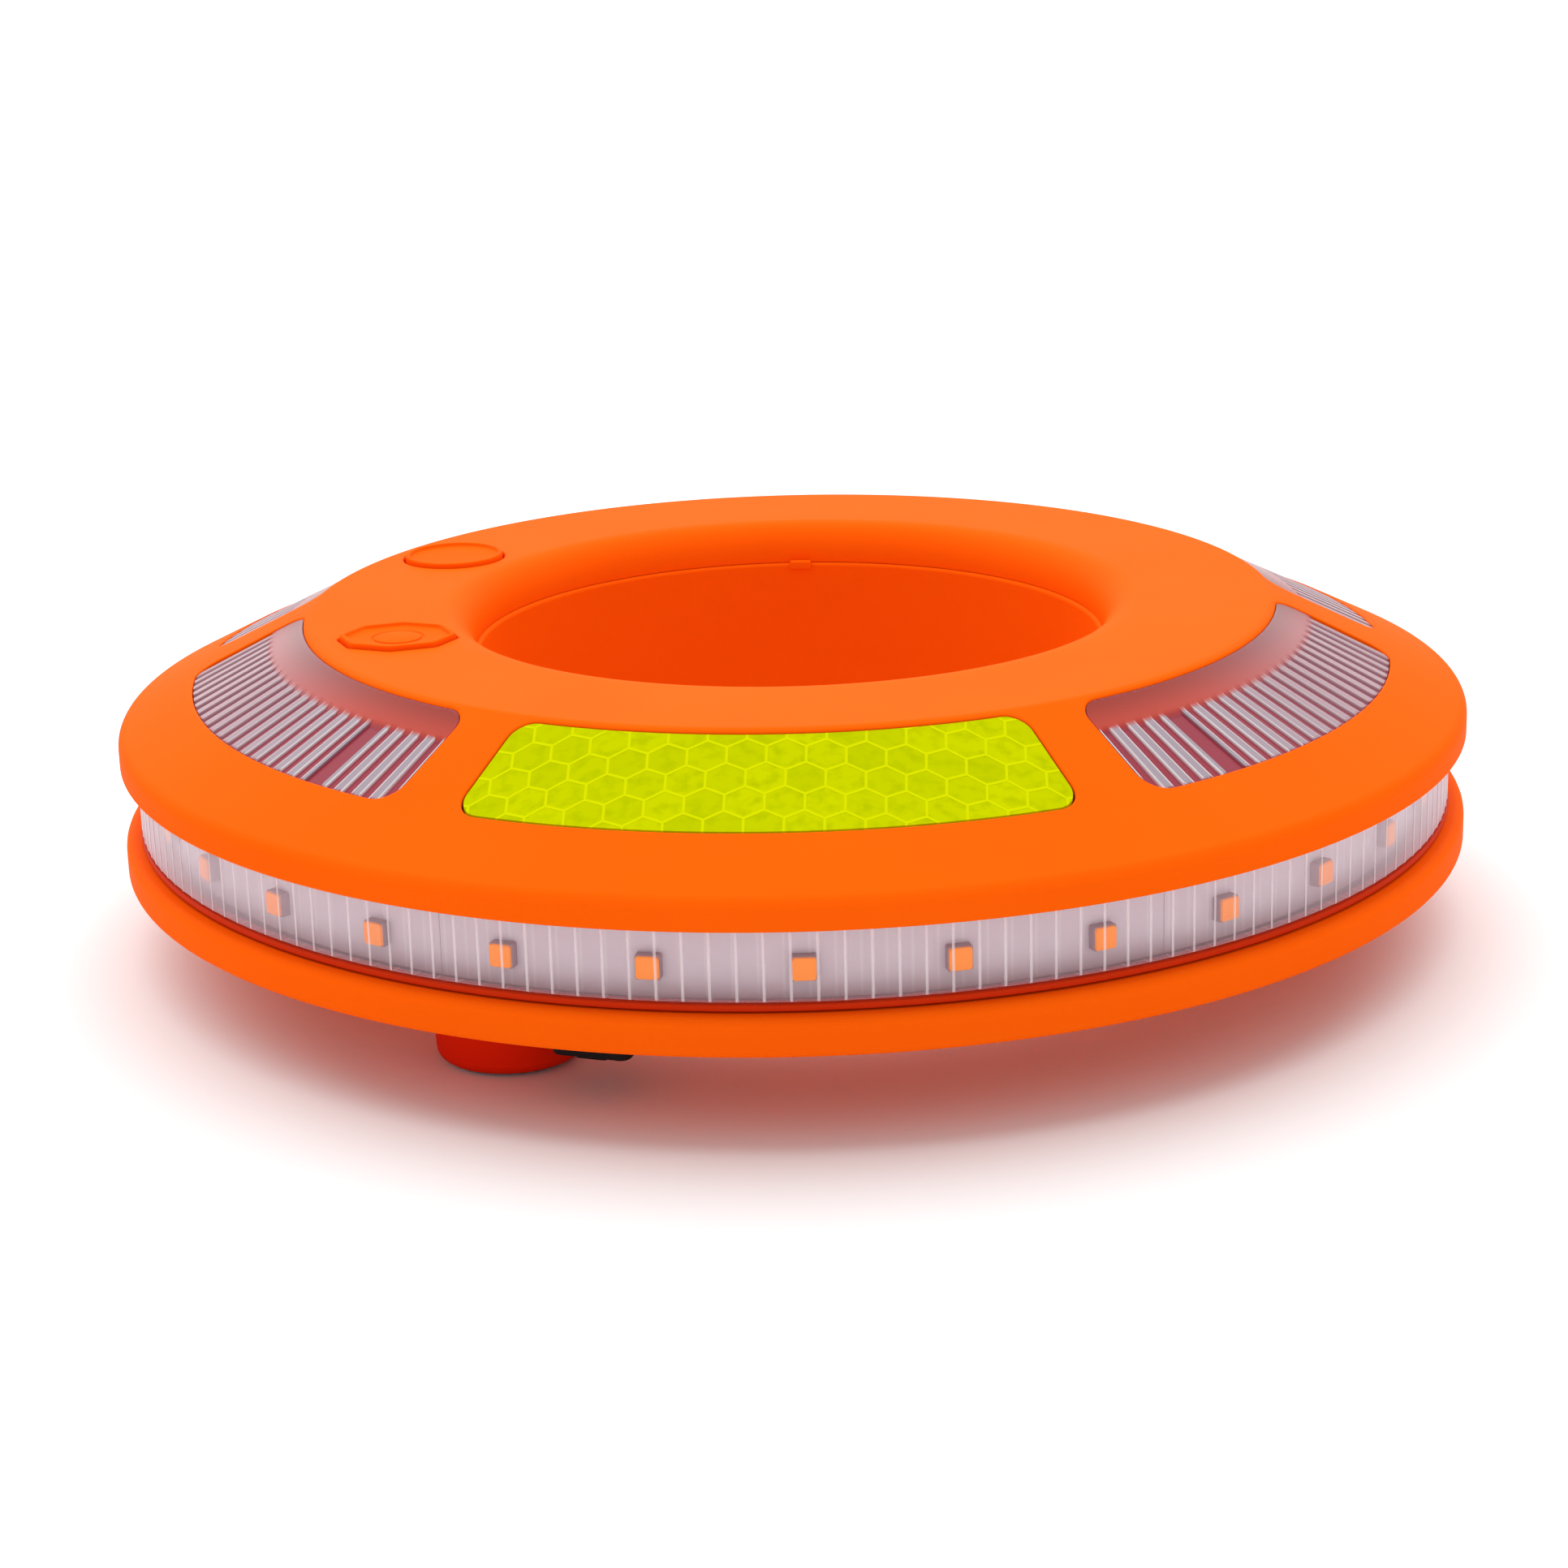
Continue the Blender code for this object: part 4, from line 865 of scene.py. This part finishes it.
# Clear polycarbonate polished between matt ribs, the crimson of the tray showing between them. The ribs carry a
# painted highlight along both edges that fades away from the seam, and the smooth band painted shade at its inner
# edge.
ribbed_pc = tinted("ribbed_polycarbonate", 0.22, 1.5, 0.004, 0.0, IOR=1.585, Specular_IOR_Level=0.05)
for side, (bearing, seam_side) in CLEAR_WINDOWS.items():
    b, r = window_grid(CLEAR_HALF, WINDOW_GAP, 640, 40)
    b = b[:, None]
    seam = seam_side * SEAM_FROM_MIDDLE
    distance = abs((b - seam - RIB_OFFSET + RIB_PITCH / 2) % RIB_PITCH - RIB_PITCH / 2)
    before = abs((seam - b - RIB_OFFSET + RIB_PITCH / 2) % RIB_PITCH - RIB_PITCH / 2)
    distance = np.where(b > seam, distance, before)
    on_rib = ramp(-distance, -RIB_WIDTH / 2 - 0.1, -RIB_WIDTH / 2 + 0.1) * (abs(b - seam) > SEAM_WIDTH / 2)
    core = ramp(-distance, -RIB_WIDTH / 2 + 0.1, -RIB_WIDTH / 2 + 0.25)
    along = ramp(r, RIB_FROM_R - 0.3, RIB_FROM_R + 0.3)
    away = ramp(b * seam_side, seam_side * seam - 30, seam_side * seam)
    depth = WINDOW_SINK + RIB_H * (1 - on_rib) * along
    height = TOP_Z - (r - SLOPE_R) * SLOPE
    upper = turn(r, b + bearing, height - depth)
    lower = turn(r, b + bearing, height - WINDOW_DEPTH)
    # The smooth band is darker at its inner edge: painted shade. It and the gaps turn redder towards the seam.
    inward = ramp(r, WINDOW_R[0], RIB_FROM_R)
    smooth = mixed("#994C4E", "#AA3A2C", np.ones_like(r) * away)
    smooth = smooth * (0.7 + 0.4 * inward[..., None])
    gap = mixed("#8D5663", "#90303F", np.ones_like(r) * away)
    # Painted highlight: each rib is pale along both edges, and fades towards mauve away from the seam.
    rib = mixed("#DAD5D8", "#9A8C95", np.ones_like(r) * core)
    rib = rib + (np.array(linear("#A37A82")) - rib) * 0.8 * (1 - away[..., None])
    ribbed = gap + (rib - gap) * (on_rib * np.ones_like(r))[..., None]
    tint = smooth + (ribbed - smooth) * along[..., None]
    tint[..., 3] = 0.95
    skirt_tint = np.broadcast_to(linear("#8E3F50"), (2 * 2 * (b.size + r.shape[1] - 2), 4))
    tints = np.concatenate([tint.reshape(-1, 4), tint.reshape(-1, 4), skirt_tint])
    window = mesh_piece(f"ribbed_window_{side}", slab(upper, lower), ribbed_pc, tint=tints)
    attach(window, "housing")
    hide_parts(f"window_lens_{side}")


# Reflective windows: a sheet of prismatic reflective film on a black plate, in the front and the rear window. The film
# is welded to its backing along a honeycomb of lines.

# Moulded ABS in dark brown, satin: it only shows as a thin line round the film.
plate_abs = moulded("moulded_dark_abs", "#3A1E12", "#42230F", (0.5, 0.65), 0.4, 0.008)
CELL = 5.9
SEAM_LINE = 0.42
FILM_GAP = 0.32
FILM_SINK = 0.15
FILM_T = 0.6
dress(plate_abs, "reflector_plate_front", "reflector_plate_rear")

# Metal-free prismatic film with a fluorescent yellow-green top layer: glossy, with paler raised welds 0.4 mm wide
# between honeycomb cells 5.9 mm across, each a slightly different green.
prismatic, tree, shader = material_with("prismatic_film", Roughness=0.35, Specular_IOR_Level=0.0)
film = add_node(tree, "UVMap", uv_map="film").outputs["UV"]
lattice = (CELL, CELL * 3**0.5, 1.0)
half_lattice = (CELL / 2, CELL * 3**0.5 / 2, 0.0)
picks = []
for shift in ((0.0, 0.0, 0.0), half_lattice):
    moved = add_node(tree, "VectorMath", {0: film, 1: shift}, operation="SUBTRACT")
    cell = add_node(tree, "VectorMath", {0: moved.outputs[0], 1: lattice}, operation="SNAP")
    corner = add_node(tree, "VectorMath", {0: moved.outputs[0], 1: cell.outputs[0]}, operation="SUBTRACT")
    local = add_node(tree, "VectorMath", {0: corner.outputs[0], 1: half_lattice}, operation="SUBTRACT")
    middle = add_node(tree, "VectorMath", {0: cell.outputs[0], 1: shift}, operation="ADD")
    size = add_node(tree, "VectorMath", {0: local.outputs[0]}, operation="LENGTH")
    picks.append((local.outputs[0], middle.outputs[0], size.outputs["Value"]))
nearer = add_node(tree, "Math", {0: picks[0][2], 1: picks[1][2]}, operation="LESS_THAN")
chosen = []
for n in (0, 1):
    choice = add_node(tree, "Mix", {0: nearer.outputs[0], 4: picks[1][n], 5: picks[0][n]}, data_type="VECTOR")
    chosen.append(choice.outputs[1])
size = add_node(tree, "VectorMath", {0: chosen[0]}, operation="ABSOLUTE")
slant = add_node(tree, "VectorMath", {0: size.outputs[0], 1: (0.5, 3**0.5 / 2, 0.0)}, operation="DOT_PRODUCT")
axes = add_node(tree, "SeparateXYZ", {0: size.outputs[0]})
outward = add_node(tree, "Math", {0: slant.outputs["Value"], 1: axes.outputs["X"]}, operation="MAXIMUM")
weld_from = (CELL - SEAM_LINE) / 2
weld = add_node(
    tree, "MapRange", {"Value": outward.outputs[0], "From Min": weld_from - 0.12, "From Max": weld_from + 0.05}
)
by_cell = add_node(tree, "TexWhiteNoise", {"Vector": chosen[1]}, noise_dimensions="3D")
greens = add_node(
    tree, "Mix", {0: by_cell.outputs["Value"], 6: linear("#B1BB00"), 7: linear("#BDC500")}, data_type="RGBA"
)
facets = add_node(tree, "TexNoise", {"Vector": film, "Scale": 0.45, "Detail": 2.0})
facet = add_node(tree, "MapRange", {"Value": facets.outputs["Fac"], "From Min": 0.45, "From Max": 0.7, "To Max": 0.8})
shaded = add_node(tree, "Mix", {0: facet.outputs[0], 6: greens.outputs[2], 7: linear("#A6B200")}, data_type="RGBA")
welded = add_node(tree, "Mix", {0: weld.outputs[0], 6: shaded.outputs[2], 7: linear("#C7CE02")}, data_type="RGBA")
tree.links.new(welded.outputs[2], shader.inputs["Base Color"])
relief = add_node(tree, "Bump", {"Height": weld.outputs[0], "Distance": 0.06 * MM})
tree.links.new(relief.outputs["Normal"], shader.inputs["Normal"])

slope_run = 1 / np.cos(np.arctan(SLOPE))
for side, bearing in (("front", 0.0), ("rear", 180.0)):
    b, r = window_grid(REFLECTOR_HALF, FILM_GAP, 120, 28)
    b = b[:, None]
    height = TOP_Z - (r - SLOPE_R) * SLOPE
    upper = turn(r, b + bearing, height - FILM_SINK)
    lower = turn(r, b + bearing, height - FILM_SINK - FILM_T)
    sheet = mesh_piece(f"reflective_film_{side}", slab(upper, lower), prismatic)
    places = np.zeros(len(sheet.data.vertices) * 3)
    sheet.data.vertices.foreach_get("co", places)
    flat = at_bearing(places.reshape(-1, 3) / MM, -bearing)
    uv = np.stack([flat[:, 0], -flat[:, 1] * slope_run], axis=-1)
    corner_at = np.zeros(len(sheet.data.loops), np.int32)
    sheet.data.loops.foreach_get("vertex_index", corner_at)
    layer = sheet.data.uv_layers.new(name="film")
    layer.data.foreach_set("uv", uv[corner_at].astype(np.float32).ravel())
    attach(sheet, "housing")
    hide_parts(f"reflective_sheet_{side}")


# Buttons: two soft caps in the flat top that press the switches below. The power button is eight sided with a round
# dimple in its dish, and the mode button is round with a plain dish.

# Over-moulded TPE: the housing's orange, duller and a little redder, with a coarser matt grain.
soft_tpe = moulded("moulded_orange_tpe", "#FC5E07", "#FA5905", (0.55, 0.7), 0.45, 0.01, Specular_IOR_Level=0.005)
BUTTON_COLUMNS = 192
FLANGE_R = 9.7
FLANGE_Z = (51.1, 51.8)
STEM_R = 2.2
DISH_R = (4.8, 7.0)
for name, centre in button_centres.items():
    low, high = span(f"{name}_button")
    shape = BUTTONS[name][0]
    rim, stem_z = high[2], low[2]
    dimple = [
        (0.0, rim - 0.52), (3.7, rim - 0.52), (3.9, rim - 0.58), (4.0, rim - 0.8), (4.35, rim - 0.8),
        (4.45, rim - 0.65), (DISH_R[0], rim - 0.6),
    ]
    dish = [(0.0, rim - 0.65), (4.0, rim - 0.63)]
    skirt = [
        (7.3, rim - 0.58), (7.7, rim - 0.5), (7.9, rim - 0.3), (8.0, rim - 0.08), (8.15, rim), (8.45, rim),
        (8.62, rim - 0.06), (8.74, rim - 0.2), (BUTTON_R, rim - 0.4), (BUTTON_R, rim - 0.9),
        (BUTTON_R, FLANGE_Z[1] + 0.1), (BUTTON_R, FLANGE_Z[1]),
    ]
    flange = [
        (FLANGE_R - 0.1, FLANGE_Z[1]), (FLANGE_R, FLANGE_Z[1] - 0.1), (FLANGE_R, FLANGE_Z[0] + 0.1),
        (FLANGE_R - 0.1, FLANGE_Z[0]),
    ]
    stem = [(STEM_R + 0.1, FLANGE_Z[0]), (STEM_R, FLANGE_Z[0] - 0.1), (STEM_R, stem_z), (0.0, stem_z)]
    rows = np.array((dimple if name == "power" else dish) + skirt + flange + stem)
    angle = np.linspace(0, 2 * np.pi, BUTTON_COLUMNS, endpoint=False)
    shape_share = ramp(rows[:, 0], *DISH_R)[None, :, None]
    outline = button_outline(angle, 1.0, shape)[:, None]
    plain = button_outline(angle, 1.0, "round")[:, None]
    plan = centre + (plain + (outline - plain) * shape_share) * rows[None, :, :1]
    points = lifted(plan, rows[None, :, 1])
    cap = mesh_piece(f"{name}_button_cap", [(points, quads(BUTTON_COLUMNS, len(rows), True, False))], soft_tpe)
    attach(cap, f"{name}_key")
    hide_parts(f"{name}_button")


# Fasteners: six pan-head steel screws drawn up from below hold the halves together, and two short ones hold the board.

# Zinc-plated steel: bright and slightly blue, with fine turned marks and a soft mottling.
zinc, tree, shader = material_with("zinc_plated_steel", Metallic=1.0)
shader.inputs["Base Color"].default_value = linear("#B4B7BC")
where = add_node(tree, "TexCoord").outputs["Object"]
mottle = add_node(tree, "TexNoise", {"Vector": where, "Scale": 1 / (0.6 * MM), "Detail": 3.0})
rough = add_node(tree, "MapRange", {"Value": mottle.outputs["Fac"], "To Min": 0.22, "To Max": 0.45})
tree.links.new(rough.outputs["Result"], shader.inputs["Roughness"])
relief = add_node(tree, "Bump", {"Height": mottle.outputs["Fac"], "Distance": 0.01 * MM})
tree.links.new(relief.outputs["Normal"], shader.inputs["Normal"])

HEAD_R = 3.0
SCREW_COLUMNS = 96
SHANK = np.array([(3.0, 17.3), (2.9, 17.5), (1.5, 17.5), (1.4, 17.6), (1.4, 32.4), (1.0, 33.0), (0.0, 33.0)])
for n in range(SCREWS):
    low, high = span(f"cover_screw_{n + 1}")
    centre = ((low + high) / 2)[:2]
    angle = np.linspace(0, 2 * np.pi, SCREW_COLUMNS, endpoint=False)[:, None]
    radius = np.concatenate([np.linspace(0, 2.7, 28), [2.85, 2.96, HEAD_R]])[None]
    x, y = radius * np.cos(angle), radius * np.sin(angle)
    arm = np.minimum(abs(x), abs(y))
    reach = np.maximum(abs(x), abs(y))
    recess = 1.1 * ramp(-arm, -0.42, -0.28) * ramp(-reach, -1.85, -1.0)
    dome = low[2] + 0.45 * (radius / HEAD_R) ** 3 * np.ones_like(angle)
    head = np.stack([x, y, dome + recess], axis=-1)
    shank = np.stack([
        SHANK[:, 0] * np.cos(angle), SHANK[:, 0] * np.sin(angle), SHANK[:, 1] * np.ones_like(angle)
    ], axis=-1)
    points = np.concatenate([head, shank], axis=1) + [*centre, 0.0]
    bolt = mesh_piece(
        f"closing_screw_{n + 1}", [(points, quads(SCREW_COLUMNS, points.shape[1], True, False))], zinc, sharp=28.0
    )
    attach(bolt, "housing")
    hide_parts(f"cover_screw_{n + 1}")
dress(zinc, "board_screw_1", "board_screw_2", *[f"foot_screw_{n}" for n in (1, 2, 3)])


# Studio: a plain pale floor, one broad soft light overhead and a little behind, and a white surround. The camera
# stands low in front and looks down on the ring.

HALF_FLOOR = 4.0
floor_mesh = bpy.data.meshes.new("floor")
floor_mesh.from_pydata([(x, y, 0.0) for x, y in ((-1, -1), (1, -1), (1, 1), (-1, 1))], [], [(0, 1, 2, 3)])
floor_mesh.transform(Matrix.Scale(HALF_FLOOR, 4))
floor = bpy.data.objects.new("floor", floor_mesh)
bpy.context.scene.collection.objects.link(floor)
paper, tree, shader = material_with("pale_paper", Roughness=0.9)
shader.inputs["Base Color"].default_value = linear("#ECECEC")
floor_mesh.materials.append(paper)

world = bpy.data.worlds.new("studio")
world.use_nodes = True
world.node_tree.nodes["Background"].inputs["Color"].default_value = (1.0, 1.0, 1.0, 1.0)
world.node_tree.nodes["Background"].inputs["Strength"].default_value = 0.75
bpy.context.scene.world = world

overhead = bpy.data.lights.new("overhead", "SUN")
overhead.energy = 3.25
overhead.angle = np.radians(100)
lamp = bpy.data.objects.new("overhead", overhead)
lamp.rotation_euler = Vector((0.12, -0.7, -1.0)).to_track_quat("-Z", "Y").to_euler()
bpy.context.scene.collection.objects.link(lamp)

AZIMUTH, ELEVATION, ROLL = np.radians([2.75, 16.99, -1.59])
DISTANCE = 0.5934
TARGET = np.array([-0.0017, -0.0001, 0.0211])
camera_data = bpy.data.cameras.new("camera")
camera_data.lens = 77.9
camera_data.sensor_width = 36.0
camera_data.clip_start = 0.01
camera = bpy.data.objects.new("camera", camera_data)
back = np.array([
    np.sin(AZIMUTH) * np.cos(ELEVATION), -np.cos(AZIMUTH) * np.cos(ELEVATION), np.sin(ELEVATION)
])
camera.location = TARGET + back * DISTANCE
facing = Vector(-back).to_track_quat("-Z", "Y")
camera.rotation_mode = "QUATERNION"
camera.rotation_quaternion = facing @ Quaternion((0.0, 0.0, 1.0), ROLL)
bpy.context.scene.collection.objects.link(camera)
bpy.context.scene.camera = camera
bpy.context.scene.view_settings.view_transform = "Standard"
